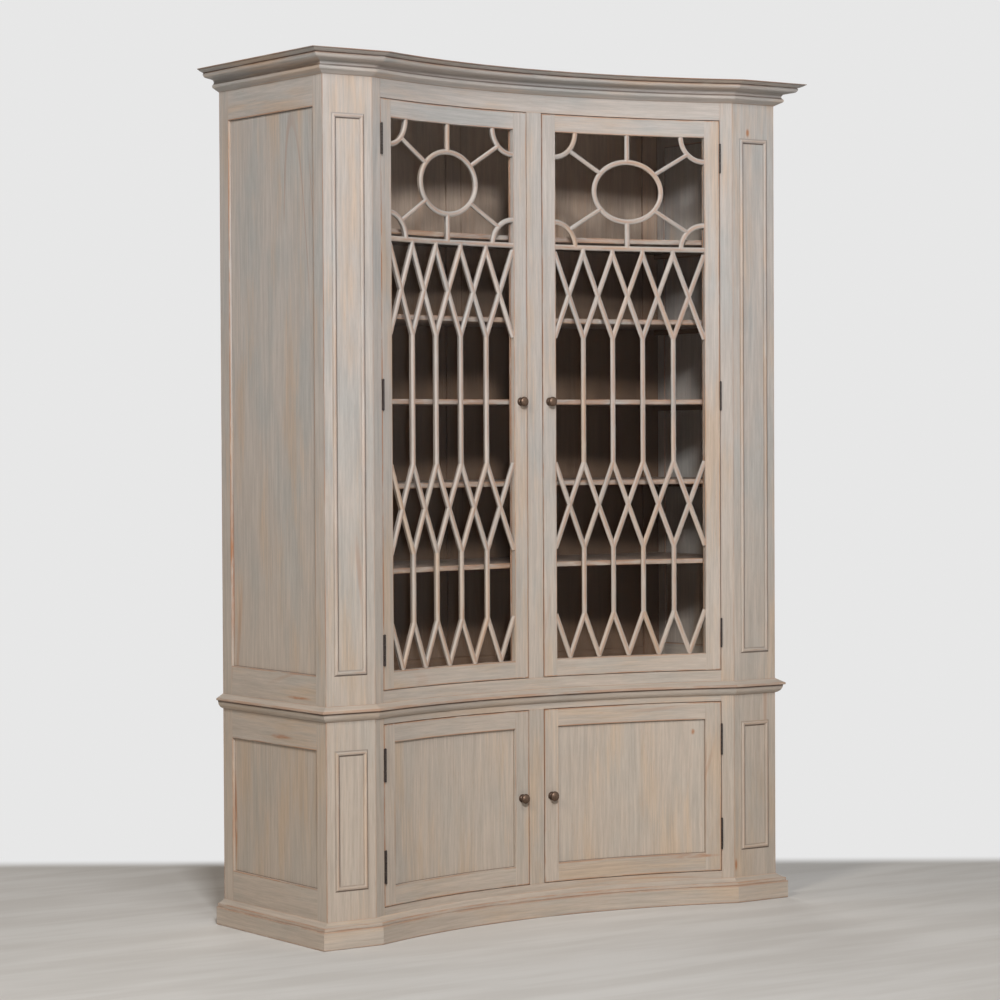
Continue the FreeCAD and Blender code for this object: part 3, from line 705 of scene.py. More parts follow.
def make_piece(name, body, surfaces, material, nodes):
    """One mesh from several surfaces, riding on a body in place of CAD nodes."""
    points = np.vstack([part["points"] for part in surfaces])
    faces = []
    start = 0
    for part in surfaces:
        for corners in part["faces"]:
            faces += (corners + start).tolist()
        start += len(part["points"])
    mesh = bpy.data.meshes.new(name)
    mesh.from_pydata(points.tolist(), [], faces)
    for key in ("wear", "wax", "tone"):
        values = np.concatenate([part[key] for part in surfaces]).astype(np.float32)
        mesh.attributes.new(key, "FLOAT", "POINT").data.foreach_set("value", values)
    grain = np.vstack([part["grain"] for part in surfaces]).astype(np.float32)
    mesh.attributes.new("grain", "FLOAT_VECTOR", "POINT").data.foreach_set(
        "vector", grain.ravel()
    )
    mesh.polygons.foreach_set("use_smooth", np.ones(len(faces), bool))
    mesh.materials.append(material)
    mesh.update()
    mesh.set_sharp_from_angle(angle=sharp_turn)
    piece = new_object(name, mesh)
    even = piece.modifiers.new("even_normals", "WEIGHTED_NORMAL")
    even.weight = 60
    even.keep_sharp = True
    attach(piece, body)
    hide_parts(*nodes)


def srgb(red, green, blue):
    """Linear colour of a paint chart's 0 to 255 values."""
    share = np.array([red, green, blue]) / 255
    linear = np.where(share <= 0.04045, share / 12.92, ((share + 0.055) / 1.055) ** 2.4)
    return (*linear.tolist(), 1.0)


class Web:
    """Short calls for building one node tree."""

    def __init__(self, tree):
        self.tree = tree

    def put(self, kind, inputs=None, **settings):
        node = self.tree.nodes.new(kind)
        for key, value in settings.items():
            setattr(node, key, value)
        for key, value in (inputs or {}).items():
            if isinstance(value, bpy.types.NodeSocket):
                self.tree.links.new(value, node.inputs[key])
            else:
                node.inputs[key].default_value = value
        return node

    def math(self, operation, first, second=0.0, clamp=False):
        return self.put(
            "ShaderNodeMath", {0: first, 1: second}, operation=operation, use_clamp=clamp
        ).outputs[0]

    def vector(self, operation, first, second=(0.0, 0.0, 0.0)):
        """Both outputs of vector arithmetic: Vector and Value."""
        return self.put(
            "ShaderNodeVectorMath", {0: first, 1: second}, operation=operation
        ).outputs

    def noise(self, vector, scale, detail=2.0, rough=0.5, output="Fac"):
        """Noise on coordinates stretched by three scales, its mean about a half."""
        spread = self.vector("MULTIPLY", vector, scale)["Vector"]
        return self.put(
            "ShaderNodeTexNoise",
            {"Vector": spread, "Scale": 1.0, "Detail": detail, "Roughness": rough},
        ).outputs[output]

    def span(self, value, low, high, to_low=0.0, to_high=1.0):
        """Smooth step from to_low at low to to_high at high."""
        return self.put(
            "ShaderNodeMapRange",
            {0: value, 1: low, 2: high, 3: to_low, 4: to_high},
            interpolation_type="SMOOTHSTEP",
        ).outputs[0]

    def mix(self, factor, first, second, blend="MIX"):
        return self.put(
            "ShaderNodeMix", {0: factor, 6: first, 7: second}, data_type="RGBA", blend_type=blend
        ).outputs[2]

    def weighted(self, *pairs):
        """Sum of sockets, each times its own weight."""
        total = 0.0
        for socket, weight in pairs:
            total = self.math("ADD", self.math("MULTIPLY", socket, weight), total)
        return total

    def bump(self, strength, distance, height):
        return self.put(
            "ShaderNodeBump", {"Strength": strength, "Distance": distance, "Height": height}
        ).outputs["Normal"]


def new_group(name, vectors, values, colours):
    """Node group from named inputs to a colour, a roughness and a height, with its
    web and its inputs."""
    group = bpy.data.node_groups.new(name, "ShaderNodeTree")
    for labels, way, kind in (
        (vectors, "INPUT", "Vector"),
        (values, "INPUT", "Float"),
        (colours, "INPUT", "Color"),
        (["Color"], "OUTPUT", "Color"),
        (["Roughness", "Height"], "OUTPUT", "Float"),
    ):
        for label in labels:
            group.interface.new_socket(label, in_out=way, socket_type="NodeSocket" + kind)
    web = Web(group)
    return group, web, web.put("NodeGroupInput").outputs


def limed_wood_group():
    """Grain, streaks and tints of weathered, limed wood: worn edges show the bare
    wood, and hollows and quirks darken with dark waxing and painted shade. Lower
    down a painted shade turns the colour darker and warmer."""
    group, web, given = new_group(
        "limed_wood",
        ["Grain", "Place"],
        ["Thin from", "Thin to", "Thin most", "Thin depth", "Tone", "Wear", "Wax"],
        ["Thin", "Pale", "Cool", "Warm", "Bare", "Dark"],
    )
    grain = given["Grain"]
    drift = web.noise(grain, (3.0, 3.0, 1.1), output="Color")
    drift = web.vector("SUBTRACT", drift, (0.5, 0.5, 0.5))["Vector"]
    drift = web.vector("MULTIPLY", drift, (0.022, 0.022, 0.0))["Vector"]
    bent = web.vector("ADD", grain, drift)["Vector"]

    streak = web.noise(bent, (130.0, 130.0, 5.0), 4.0, 0.62)
    band = web.noise(bent, (24.0, 24.0, 2.6), 3.0, 0.55)
    fibre = web.noise(bent, (330.0, 330.0, 16.0), 4.0, 0.70)
    plank = web.noise(bent, (60.0, 60.0, 2.4), 4.0, 0.66)
    pore = web.noise(bent, (900.0, 900.0, 40.0), 1.0)
    cloud = web.noise(grain, (7.0, 7.0, 3.2), 3.0, 0.55)
    blush = web.noise(bent, (11.0, 11.0, 2.0), 3.0, 0.6)

    rings = web.noise(bent, (3.4, 3.4, 0.50), 1.0, 0.3)
    wave = web.math("SINE", web.math("MULTIPLY", rings, 62.0))
    faded = web.span(web.noise(grain, (4.0, 4.0, 1.6), 1.0), 0.62, 0.74)
    line = web.math("MULTIPLY", web.span(wave, 0.86, 1.0), faded)

    cool_share = web.span(web.weighted((band, 0.35), (cloud, 1.0)), 0.60, 0.86)
    warm_share = web.span(web.weighted((streak, 0.35), (blush, 1.0)), 0.66, 0.90)
    colour = web.mix(web.math("MULTIPLY", cool_share, 0.66), given["Pale"], given["Cool"])
    colour = web.mix(web.math("MULTIPLY", warm_share, 0.66), colour, given["Warm"])
    place = web.put("ShaderNodeSeparateXYZ", {0: given["Place"]}).outputs
    # Painted shade: lower down, in front of a depth, the colour turns towards a darker, warmer
    # tone.
    thin = web.span(place["Z"], given["Thin from"], given["Thin to"], 0.0, given["Thin most"])
    thin = web.math("MULTIPLY", thin, web.math("LESS_THAN", place["Y"], given["Thin depth"]))
    colour = web.mix(thin, colour, given["Thin"])
    light = web.span(
        web.weighted((fibre, 0.5), (streak, 0.6), (plank, 0.35)), 0.52, 0.96, 0.83, 1.11
    )
    tone = web.math("ADD", web.math("MULTIPLY", given["Tone"], 0.035), 1.0)
    light = web.math("MULTIPLY", light, tone)
    grey = web.put("ShaderNodeCombineColor", {0: light, 1: light, 2: light}).outputs[0]
    colour = web.mix(1.0, colour, grey, "MULTIPLY")
    colour = web.mix(web.math("MULTIPLY", line, 0.30), colour, given["Bare"])
    dark_pore = web.span(pore, 0.66, 0.78)
    colour = web.mix(web.math("MULTIPLY", dark_pore, 0.28), colour, given["Bare"])

    patch = web.noise(grain, (60.0, 60.0, 9.0), 3.0, 0.7)
    ragged = web.vector("ADD", given["Place"], drift)["Vector"]
    worn = given["Wear"]
    for centre, spread in bare_spots:
        offset = web.vector("SUBTRACT", ragged, centre)["Vector"]
        reach = web.vector("LENGTH", web.vector("DIVIDE", offset, spread)["Vector"])["Value"]
        worn = web.math("MAXIMUM", web.span(reach, 0.25, 1.0, 1.0, 0.0), worn)
    rubbed = web.math("MULTIPLY", worn, web.span(patch, 0.28, 0.60))
    colour = web.mix(web.math("MULTIPLY", rubbed, 0.88), colour, given["Bare"])
    # Dark wax and painted shade: the dark mark, broken up in patches, turns the colour towards
    # Dark.
    waxed = web.math("MULTIPLY", given["Wax"], web.span(patch, 0.20, 0.50, 0.55, 1.0))
    colour = web.mix(web.math("MULTIPLY", waxed, 0.85), colour, given["Dark"])

    rough = web.weighted((web.span(fibre, 0.3, 0.7, 0.66, 0.80), 1.0), (rubbed, -0.10))
    height = web.weighted((fibre, 0.6), (streak, 0.5), (line, -0.25), (dark_pore, -0.4))
    web.put("NodeGroupOutput", {"Color": colour, "Roughness": rough, "Height": height})
    return group


def worn_metal_group():
    """Mottled patina that rubs bright where the wear is high."""
    group, web, given = new_group("worn_metal", ["Grain"], ["Wear"], ["Dark", "Bright"])
    blotch = web.noise(given["Grain"], (260.0, 260.0, 260.0), 4.0, 0.65)
    fine = web.noise(given["Grain"], (1400.0, 1400.0, 1400.0))
    share = web.math("MULTIPLY", web.span(blotch, 0.38, 0.68), 0.45)
    share = web.math("ADD", share, web.math("MULTIPLY", given["Wear"], 0.6), clamp=True)
    colour = web.mix(share, given["Dark"], given["Bright"])
    rough = web.span(blotch, 0.3, 0.7, 0.52, 0.34)
    height = web.weighted((blotch, 0.5), (fine, 0.3))
    web.put("NodeGroupOutput", {"Color": colour, "Roughness": rough, "Height": height})
    return group


def new_material(name, **shader_values):
    """Material with one shader, whose plain values are set on its own sockets."""
    material = bpy.data.materials.new(name)
    material.use_nodes = True
    web = Web(material.node_tree)
    shader = material.node_tree.nodes["Principled BSDF"]
    for key, value in shader_values.items():
        shader.inputs[key.replace("_", " ")].default_value = value
    return material, web, shader


def attribute(web, name, output="Fac"):
    node = web.put("ShaderNodeAttribute", attribute_type="GEOMETRY", attribute_name=name)
    return node.outputs[output]


def figured_material(name, group, marks, relief, values, **shader_values):
    """Material whose colour, roughness and relief come from a group, which reads the
    marks and the grain on the points and, if it asks for it, the place."""
    material, web, shader = new_material(name, **shader_values)
    inputs = {mark: attribute(web, mark.lower()) for mark in marks}
    inputs["Grain"] = attribute(web, "grain", "Vector")
    figure = web.put("ShaderNodeGroup", {**inputs, **values}, node_tree=group)
    links = web.tree.links
    if "Place" in figure.inputs:
        links.new(web.put("ShaderNodeTexCoord").outputs["Object"], figure.inputs["Place"])
    links.new(figure.outputs["Color"], shader.inputs["Base Color"])
    links.new(figure.outputs["Roughness"], shader.inputs["Roughness"])
    links.new(web.bump(*relief, figure.outputs["Height"]), shader.inputs["Normal"])
    return material


def wood_material(name, group, thinning, **colours):
    """Wood with its own colours; a painted shade turns it darker and warmer between
    two levels, up to a share, in front of a depth."""
    values = {label.capitalize(): srgb(*colour) for label, colour in colours.items()}
    values.update(zip(("Thin from", "Thin to", "Thin most", "Thin depth"), thinning))
    marks = ("Tone", "Wear", "Wax")
    return figured_material(name, group, marks, wood_relief, values, Specular_IOR_Level=0.32)


def metal_material(name, group, dark, bright, metallic):
    values = {"Dark": srgb(*dark), "Bright": srgb(*bright)}
    return figured_material(name, group, ["Wear"], metal_relief, values, Metallic=metallic)


def glass_material():
    """Old window glass: clear, with a faint unevenness and a trace of dust. Shadow
    and diffuse rays pass it, so that the shelves get their daylight."""
    material, web, shader = new_material(
        "glass", Transmission_Weight=1.0, IOR=1.12, Metallic=0.0,
        Base_Color=(0.95, 0.96, 0.95, 1.0),
    )
    links = web.tree.links
    place = attribute(web, "grain", "Vector")
    dust = web.noise(place, (14.0, 14.0, 9.0), 3.0, 0.6)
    links.new(web.span(dust, 0.45, 0.75, 0.0, 0.035), shader.inputs["Roughness"])
    ripple = web.noise(place, (3.0, 3.0, 2.0), 1.0)
    links.new(web.bump(0.05, 0.002, ripple), shader.inputs["Normal"])
    path = web.put("ShaderNodeLightPath").outputs
    passing = web.math("MAXIMUM", path["Is Shadow Ray"], path["Is Diffuse Ray"])
    solid = web.math("SUBTRACT", 1.0, web.math("MULTIPLY", passing, 0.93))
    links.new(solid, shader.inputs["Alpha"])
    return material


# Strength and depth in metres of the relief
wood_relief = (0.30, 0.0006)
metal_relief = (0.25, 0.0004)

# Knots and cracks where the lime has worn off: middle and reach of each
bare_spots = [
    ((-0.780, -0.010, 0.552), (0.05, 0.075, 0.009)),
    ((-0.780, -0.100, 0.664), (0.05, 0.080, 0.006)),
    ((0.500, -0.200, 0.139), (0.110, 0.10, 0.007)),
    ((0.505, -0.196, 0.503), (0.010, 0.05, 0.012)),
    ((0.632, -0.240, 0.108), (0.006, 0.05, 0.024)),
    ((0.683, -0.240, 2.254), (0.009, 0.05, 0.016)),
    ((-0.780, 0.258, 0.300), (0.05, 0.010, 0.170)),
    ((-0.780, 0.258, 0.960), (0.05, 0.008, 0.330)),
]

wood_figure = limed_wood_group()
# Painted shade: the outside turns darker and warmer from 1.9 m down to the floor, the inside
# darker from 2.08 m down to 1.66 m.
limed_wood = wood_material(
    "limed_wood", wood_figure, (1.9, 0.2, 0.42, 1.0),
    pale=(189, 181, 175), cool=(172, 173, 172), warm=(194, 170, 148),
    bare=(166, 112, 74), dark=(70, 48, 34), thin=(186, 163, 135),
)
inner_wood = wood_material(
    "inner_wood", wood_figure, (2.08, 1.66, 0.85, 0.302),
    pale=(194, 172, 155), cool=(168, 152, 138), warm=(184, 150, 124),
    bare=(100, 68, 48), dark=(44, 30, 22), thin=(114, 85, 63),
)
woods = {"limed_wood": limed_wood, "inner_wood": inner_wood}
patina = worn_metal_group()
aged_bronze = metal_material("aged_bronze", patina, (64, 50, 42), (122, 98, 80), 0.65)
dark_iron = metal_material("dark_iron", patina, (40, 34, 33), (92, 80, 74), 0.4)
catch_steel = metal_material("catch_steel", patina, (120, 120, 122), (175, 175, 176), 0.9)
glass = glass_material()


# Outlines as in the frame, in shares of projection and height, bottom up
cornice_items = [
    ("line", 0.26, 0.165),
    ("arc", 0.315, 0.245, 0.26, 0.35),
    ("arc", 0.245, 0.46, 0.32, 0.545),
    ("line", 0.62, 0.61),
    ("arc", 0.715, 0.68, 0.735, 0.80),
    ("line", 0.70, 0.82),
    ("arc", 0.83, 0.865, 0.965, 0.955),
    ("line", 1.0, 0.965),
    ("line", 1.0, 1.0),
    ("line", 0.0, 1.0),
]
waist_items = [
    ("arc", 0.56, 0.20, 0.74, 0.50),
    ("line", 0.74, 0.54),
    ("line", 1.0, 0.57),
    ("line", 1.0, 0.69),
    ("arc", 0.50, 0.838, 0.0, 1.0),
]
plinth_cap_items = [
    ("line", 1.0, 0.0),
    ("line", 1.0, 0.42),
    ("arc", 0.52, 0.60, 0.0, 1.0),
]
plinth_items = [
    ("line", 1.0, 0.0),
    ("line", 1.0, 1.0),
    ("line", 0.0, 1.0),
]


def heights(node):
    """Lowest and highest level of a CAD node."""
    low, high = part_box(node)
    return low.z, high.z


def make_wood(name, surfaces, node, slot="limed_wood", body="carcass"):
    """Wooden piece in place of one CAD node."""
    make_piece(name, body, surfaces, woods[slot], [node])


def frame_mouldings():
    plinth_low, plinth_high = heights("plinth_boards")
    plinth_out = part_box("plinth_boards")[1].x - half_width
    inner = half_width - plinth_seat
    boards = moulding(
        plinth_items, plinth_out + plinth_seat, plinth_high - plinth_low, plinth_low,
        0.002, plinth_seat,
    )
    boards.append(block((-inner, back_front_y, plinth_low), (inner, back_y, plinth_high), 0))
    make_wood("plinth", boards, "plinth_boards")
    for name, items, radius in (
        ("plinth_cap", plinth_cap_items, 0.0015),
        ("waist", waist_items, moulding_ease),
        ("cornice", cornice_items, moulding_ease),
    ):
        node = name + "_moulding"
        low, high = heights(node)
        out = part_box(node)[1].x - half_width
        make_wood(name, moulding(items, out, high - low, low, radius), node)


def case_front(prefix, opening_bottom, opening_top):
    """Face frame, pilasters and beads of one half of the case."""
    z0, z1 = heights(prefix + "_pilasters")
    outer = arc(half_bow - outer_stile_width)
    centre = arc(centre_stile_width / 2)
    far = arc(half_bow)
    finish = {"radius": joint_ease, "rub": joint_rub}

    def board(s0, s1, low, high, along, place=bow):
        return bow_block(s0, s1, 0, front_thickness, low, high, along, place, **finish)

    boards = [
        board(side * outer, side * far, z0, z1, 2, frame_stile(side, outer)) for side in (-1, 1)
    ]
    boards += [
        board(-outer, outer, z0, opening_bottom, 0),
        board(-outer, outer, opening_top, z1, 0),
        board(-centre, centre, opening_bottom, opening_top, 2),
    ]
    make_wood(prefix + "_front_frame", boards, prefix + "_face_frame")
    boards = []
    for side in (-1, 1):
        x0, x1 = ranged(side * half_bow, side * half_width)
        corners = (x0, front_y, z0), (x1, front_y + front_thickness, z1)
        boards.append(block(*corners, 2, pilaster(side), rub=pilaster_rub))
    make_wood(prefix + "_pilaster_boards", boards, prefix + "_pilasters")
    node = prefix + "_pilaster_beads"
    low, high = heights(node)
    make_wood(prefix + "_beading", bead_frame(-1, low, high) + bead_frame(1, low, high), node)


def case_sides(prefix, panel_bottom, panel_top):
    """Framed sides: two stiles, two rails and a recessed panel on each side."""
    z0, z1 = heights(prefix + "_side_frame_right")
    stile_front = front_y + side_stile_width
    stile_back = back_y - side_stile_width
    panel_outer = half_width - panel_setback
    panel_inner = panel_outer - panel_thickness
    opening = (stile_front, stile_back, panel_bottom, panel_top)
    edge = ((front_y, back_y, z0, z1), 1), opening, 0.0
    finish = {"radius": joint_ease, "rub": frame_rub, "edge": edge}
    panels = []
    for side, word in ((-1, "left"), (1, "right")):
        x0, x1 = ranged(side * case_inner, side * half_width)
        boards = [
            block((x0, front_y, z0), (x1, stile_front, z1), 2, side_front_stile, **finish),
            block((x0, stile_back, z0), (x1, back_y, z1), 2, **finish),
            block((x0, stile_front, z0), (x1, stile_back, panel_bottom), 1, **finish),
            block((x0, stile_front, panel_top), (x1, stile_back, z1), 1, **finish),
        ]
        make_wood(prefix + "_side_boards_" + word, boards, prefix + "_side_frame_" + word)
        p0, p1 = ranged(side * panel_inner, side * panel_outer)
        low = (p0, stile_front - groove_depth, panel_bottom - groove_depth)
        high = (p1, stile_back + groove_depth, panel_top + groove_depth)
        panels.append(block(low, high, 2, rim=panel_rim))
    make_wood(prefix + "_side_fields", panels, prefix + "_side_panels")


def level_board(
    name, node, setback, slot, handled=0.0, dusky=0.0, side_x=case_inner, rear=back_front_y
):
    """Shelf or case board whose front follows the cabinet's front: handled along its
    front edge, and darkened with painted shade behind that edge."""
    z0, z1 = heights(node)
    low = (-side_x, front_y + setback, z0)
    high = (side_x, rear, z1)
    part = block(low, high, 0, behind_front(setback, rear), ease, curve_step)
    behind = part["points"][:, 1] - front_line(part["points"][:, 0], setback)
    part["wear"] = np.maximum(part["wear"], handled)
    # Painted shade: the board darkens from 2 mm behind its front edge, fully by 6 mm.
    part["wax"] = dusky * np.clip(behind / wear_reach - 0.5, 0, 1)
    make_wood(name, [part], node, slot)


def case_boards():
    behind = front_thickness + fit_gap
    for name in ("base_bottom", "base_top", "upper_bottom"):
        level_board(name, name + "_board", behind, "inner_wood")
    level_board("upper_top", "upper_top_board", 0.0, "limed_wood", side_x=half_width, rear=back_y)
    level_board("base_shelf_board", "base_shelf", shelf_setback, "inner_wood")
    upper_shelves = ["upper_shelf_" + str(number) for number in range(1, 6)]
    for node in upper_shelves:
        name = node.replace("upper_shelf", "shelf_board")
        level_board(name, node, shelf_setback, "limed_wood", shelf_rub, shelf_dusk)
    for prefix, shelves in (("base", ["base_shelf"]), ("upper", upper_shelves)):
        parts = []
        for shelf in shelves:
            under = heights(shelf)[0]
            for side in (-1, 1):
                x0, x1 = ranged(side * (case_inner - batten_size), side * case_inner)
                low = (x0, front_y + batten_setback, under - batten_size)
                parts.append(block(low, (x1, back_front_y, under), 1))
        node = prefix + "_shelf_battens"
        make_wood(node + "_pair", parts, node, "inner_wood")


def case_backs():
    y0 = back_front_y
    z0, z1 = heights("base_back_panel")
    part = block((-case_inner, y0, z0), (case_inner, back_y, z1), 2)
    make_wood("base_back", [part], "base_back_panel", "inner_wood")
    z0, z1 = heights("upper_back_frame")
    stile_x = case_inner - back_stile_width
    half_muntin = back_muntin_width / 2
    low = z0 + back_rail_width + back_thickness
    high = z1 - back_rail_width
    boards = [
        block((-case_inner, y0, z0), (-stile_x, back_y, z1), 2),
        block((stile_x, y0, z0), (case_inner, back_y, z1), 2),
        block((-stile_x, y0, z0), (stile_x, back_y, low), 0),
        block((-stile_x, y0, high), (stile_x, back_y, z1), 0),
        block((-half_muntin, y0, low), (half_muntin, back_y, high), 2),
    ]
    make_wood("upper_back_boards", boards, "upper_back_frame", "inner_wood")
    panels = []
    for side in (-1, 1):
        x0, x1 = ranged(side * (half_muntin - groove_depth), side * (stile_x + groove_depth))
        corners = (
            (x0, y0 + back_panel_setback, low - groove_depth),
            (x1, y0 + back_panel_rear, high + groove_depth),
        )
        panels.append(block(*corners, 2))
    make_wood("upper_back_fields", panels, "upper_back_panels", "inner_wood")


def door_edges():
    """Arc lengths of a door's meeting edge and hinge edge."""
    meeting = arc(centre_stile_width / 2 + door_gap)
    hinge = arc(half_bow - outer_stile_width - door_gap)
    return meeting, hinge


def lattice_levels(bottom, top):
    """Ends of the lattice's rows from the foot up, in fixed shares of its zone."""
    steps = np.array([
        lattice_foot, lattice_rise, lower_straight_run, 2 * lattice_rise,
        middle_straight_run, 2 * lattice_rise, lattice_head,
    ])
    return bottom + (top - bottom) * np.cumsum(steps)[:-1] / steps.sum()


def lattice(side, inner, outer, z0, z1):
    """Bars of one door: pointed columns under a bar, and an oval with spokes over it."""
    step = (outer - inner) / lattice_columns
    bar_level = z1 - oval_zone_height
    foot, high, row, middle, top_row, crest = lattice_levels(z0, bar_level)

    def stick(s0, level0, s1, level1, width=bar_width):
        return straight_bar((side * s0, level0), (side * s1, level1), width)

    def button(s, z):
        """Round boss with the bar's section where bars meet."""
        across, depth = bar_section(bar_width)[:2]
        half = len(across) // 2 + 1
        radius = np.concatenate([[0.0], across[:half - 1], [0.0]])
        along = np.concatenate([[depth[0]], depth[:half]])

        def place(points):
            flat = np.stack([side * s + points[:, 0], points[:, 2], z + points[:, 1]], -1)
            return bow(flat)
        return turned(radius, along, place, 24)

    bars = []
    middle_bar = np.stack([side * np.linspace(inner, outer, 28), np.full(28, bar_level)], -1)
    bars.append(bar(middle_bar, bar_width))
    for column in range(lattice_columns):
        left = inner + step * column
        right = left + step
        centre = left + step / 2
        bars += [stick(left, high, centre, foot), stick(centre, foot, right, high)]
        for lower, upper in ((row, middle), (top_row, crest)):
            bars += [stick(left, lower, right, upper), stick(right, lower, left, upper)]
        bars.append(button(centre, foot))
    for column in range(1, lattice_columns):
        s = inner + step * column
        for lower, upper in ((high, row), (middle, top_row), (crest, bar_level)):
            bars.append(stick(s, lower, s, upper))
        bars += [button(s, level) for level in (high, row, middle, top_row, crest)]

    half_run = (outer - inner) / 2
    half_rise = (z1 - bar_level) / 2
    centre_s = inner + half_run
    centre_z = bar_level + half_rise
    turn = np.linspace(0, 2 * math.pi, 97)[:-1]
    oval_s = side * centre_s + oval_half_width * np.cos(turn)
    oval_z = centre_z + oval_half_height * np.sin(turn)
    bars.append(bar(np.stack([oval_s, oval_z], -1), bar_width, closed=True))
    far_run = half_run - corner_arc_radius / math.sqrt(2)
    far_rise = half_rise - corner_arc_radius / math.sqrt(2)
    reach = math.hypot(far_run / oval_half_width, far_rise / oval_half_height)
    quarter = np.linspace(0, math.pi / 2, 25)
    for up in (-1, 1):
        bars.append(
            stick(centre_s, centre_z + up * oval_half_height, centre_s, centre_z + up * half_rise)
        )
        for across in (-1, 1):
            bend_s = centre_s + across * (half_run - corner_arc_radius * np.cos(quarter))
            bend_z = centre_z + up * (half_rise - corner_arc_radius * np.sin(quarter))
            bars.append(bar(np.stack([side * bend_s, bend_z], -1), bar_width))
            bars.append(
                stick(
                    centre_s + across * far_run / reach, centre_z + up * far_rise / reach,
                    centre_s + across * far_run, centre_z + up * far_rise, spoke_width,
                )
            )
    return bars


def knob(side, stile_middle, level):
    """Turned knob: a rose with a rolled edge, a waisted neck and a flattened ball."""
    def place(points):
        depth = -points[:, 2]
        flat = np.stack([side * stile_middle + points[:, 0], depth, level + points[:, 1]], -1)
        return bow(flat)

    seat = 0.00005
    rolled = 0.0012
    ball_middle = 0.0165
    roll = np.linspace(0, math.pi / 2, 7)
    rose_r = rose_radius - rolled * (1 - np.cos(roll))
    rose_z = seat + 0.0010 + rolled * np.sin(roll)
    sweep = np.linspace(0, 1, 11)
    neck_z = 0.0025 + 0.0085 * sweep
    neck_r = neck_radius + 0.0042 * (1 - sweep) ** 3 + 0.0022 * sweep ** 4
    ball = np.linspace(-1.02, math.pi / 2, 25)
    ball_z = ball_middle + (knob_length - ball_middle) * np.sin(ball)
    ball_r = knob_radius * np.cos(ball) ** 0.86
    radius = np.concatenate([[0.0, rose_radius], rose_r, neck_r, ball_r[:-1], [0.0]])
    along = np.concatenate([[seat, seat], rose_z, neck_z, ball_z[:-1], [knob_length]])
    wear = np.concatenate([
        np.zeros(2), 0.5 * np.sin(roll), np.zeros(len(neck_r)), np.clip(np.sin(ball), 0, 1)
    ])
    return turned(radius, along, place, 56, wear=wear * knob_rub)


def hinge_levels(node):
    """Middle level of each hinge from the outer ends of a door's stiles."""
    z0, z1 = heights(node)
    count = 3 if z1 - z0 > 1 else 2
    return np.linspace(z0 + hinge_inset, z1 - hinge_inset, count)


def barrel(low, high, place):
    """Knuckle: a tube from the bore to the knuckle radius with eased rims."""
    rim = 0.0005
    half = [bore_radius, knuckle_radius - rim, knuckle_radius]
    along = [low, low, low + rim, high - rim, high, high]
    return turned(half + half[::-1], along, place, 28, closed=True)


def hinges(side, level, length):
    """Frame parts, door parts and pin of one hinge at a level."""
    turn = side * arc(half_bow - outer_stile_width - door_gap / 2) / bow_radius
    pin_line = bow(np.array([[turn * bow_radius, -pin_standoff, level - length / 2]]))[0]
    place = about(pin_line, turn)
    third = length / 3

    def plate(sign):
        x0, x1 = ranged(sign * leaf_near, sign * leaf_far)
        high = (x1, pin_standoff + leaf_depth, length)
        return block((x0, pin_standoff, 0), high, 2, place, plate_ease)

    def web(sign, low, high):
        x0, x1 = ranged(sign * leaf_near, sign * leaf_far)
        corner = (x1, pin_standoff + leaf_near, high)
        return block((x0, web_near, low), corner, 2, place, plate_ease / 2)

    ends = ((0, third), (length - third, length))
    middle = (third + knuckle_gap, length - third - knuckle_gap)
    frame_parts = [plate(side)]
    for low, high in ends:
        frame_parts += [barrel(low, high, place), web(side, low, high)]
    door_parts = [plate(-side), barrel(*middle, place), web(-side, *middle)]
    tip = 0.0015
    dome = np.linspace(0, math.pi / 2, 5)
    radius = np.concatenate([pin_radius * np.sin(dome), pin_radius * np.cos(dome)])
    along = np.concatenate([-tip * np.cos(dome), length + tip * np.sin(dome)])
    radius[-1] = 0.0
    pin = turned(radius, along, place, 24)
    return frame_parts, door_parts, pin


def strike(side, level):
    """Slim plate let into the back of the meeting stile."""
    outer = arc(catch_half_width)
    return bow_block(
        side * (outer - strike_width), side * outer,
        door_thickness - strike_depth, door_thickness + strike_proud,
        level - strike_half_height, level + strike_half_height, 2, radius=plate_ease,
    )


def framed_door(side, z0, z1, stile_width, bottom_rail, top_rail, rebated):
    """Stiles and rails; a rebated frame has a narrower back for glass and beads."""
    meeting, hinge = door_edges()
    inner = meeting + stile_width
    outer = hinge - stile_width
    layers = [(0.0, door_thickness, 0.0)]
    if rebated:
        layers = [(0.0, glass_front, 0.0), (glass_front, door_thickness, glass_rebate)]
    edges = [*ranged(side * meeting, side * hinge), z0, z1], 0
    opening = [*ranged(side * inner, side * outer), z0 + bottom_rail, z1 - top_rail]
    finish = {"radius": joint_ease, "rub": frame_rub, "edge": (edges, opening, 1.0)}
    stiles = []
    rails = []
    for d0, d1, back in layers:
        near = side * (inner - back)
        far = side * (outer + back)
        low = z0 + bottom_rail - back
        high = z1 - top_rail + back
        lean = meeting_stile(side, meeting, inner - back)
        stiles += [
            bow_block(side * meeting, near, d0, d1, z0, z1, 2, lean, **finish),
            bow_block(far, side * hinge, d0, d1, z0, z1, 2, **finish),
        ]
        rails += [
            bow_block(near, far, d0, d1, z0, low, 0, **finish),
            bow_block(near, far, d0, d1, high, z1, 0, **finish),
        ]
    return stiles, rails, inner, outer


def share_tone(surfaces):
    """Give the boards of the second layer the tones of the first."""
    for front, back in zip(surfaces[:2], surfaces[2:]):
        back["tone"] = np.full(len(back["tone"]), front["tone"][0])


def door_boards(prefix, body, stiles, rails):
    make_wood(prefix + "_stile_boards", stiles, prefix + "_stiles", body=body)
    make_wood(prefix + "_rail_boards", rails, prefix + "_rails", body=body)


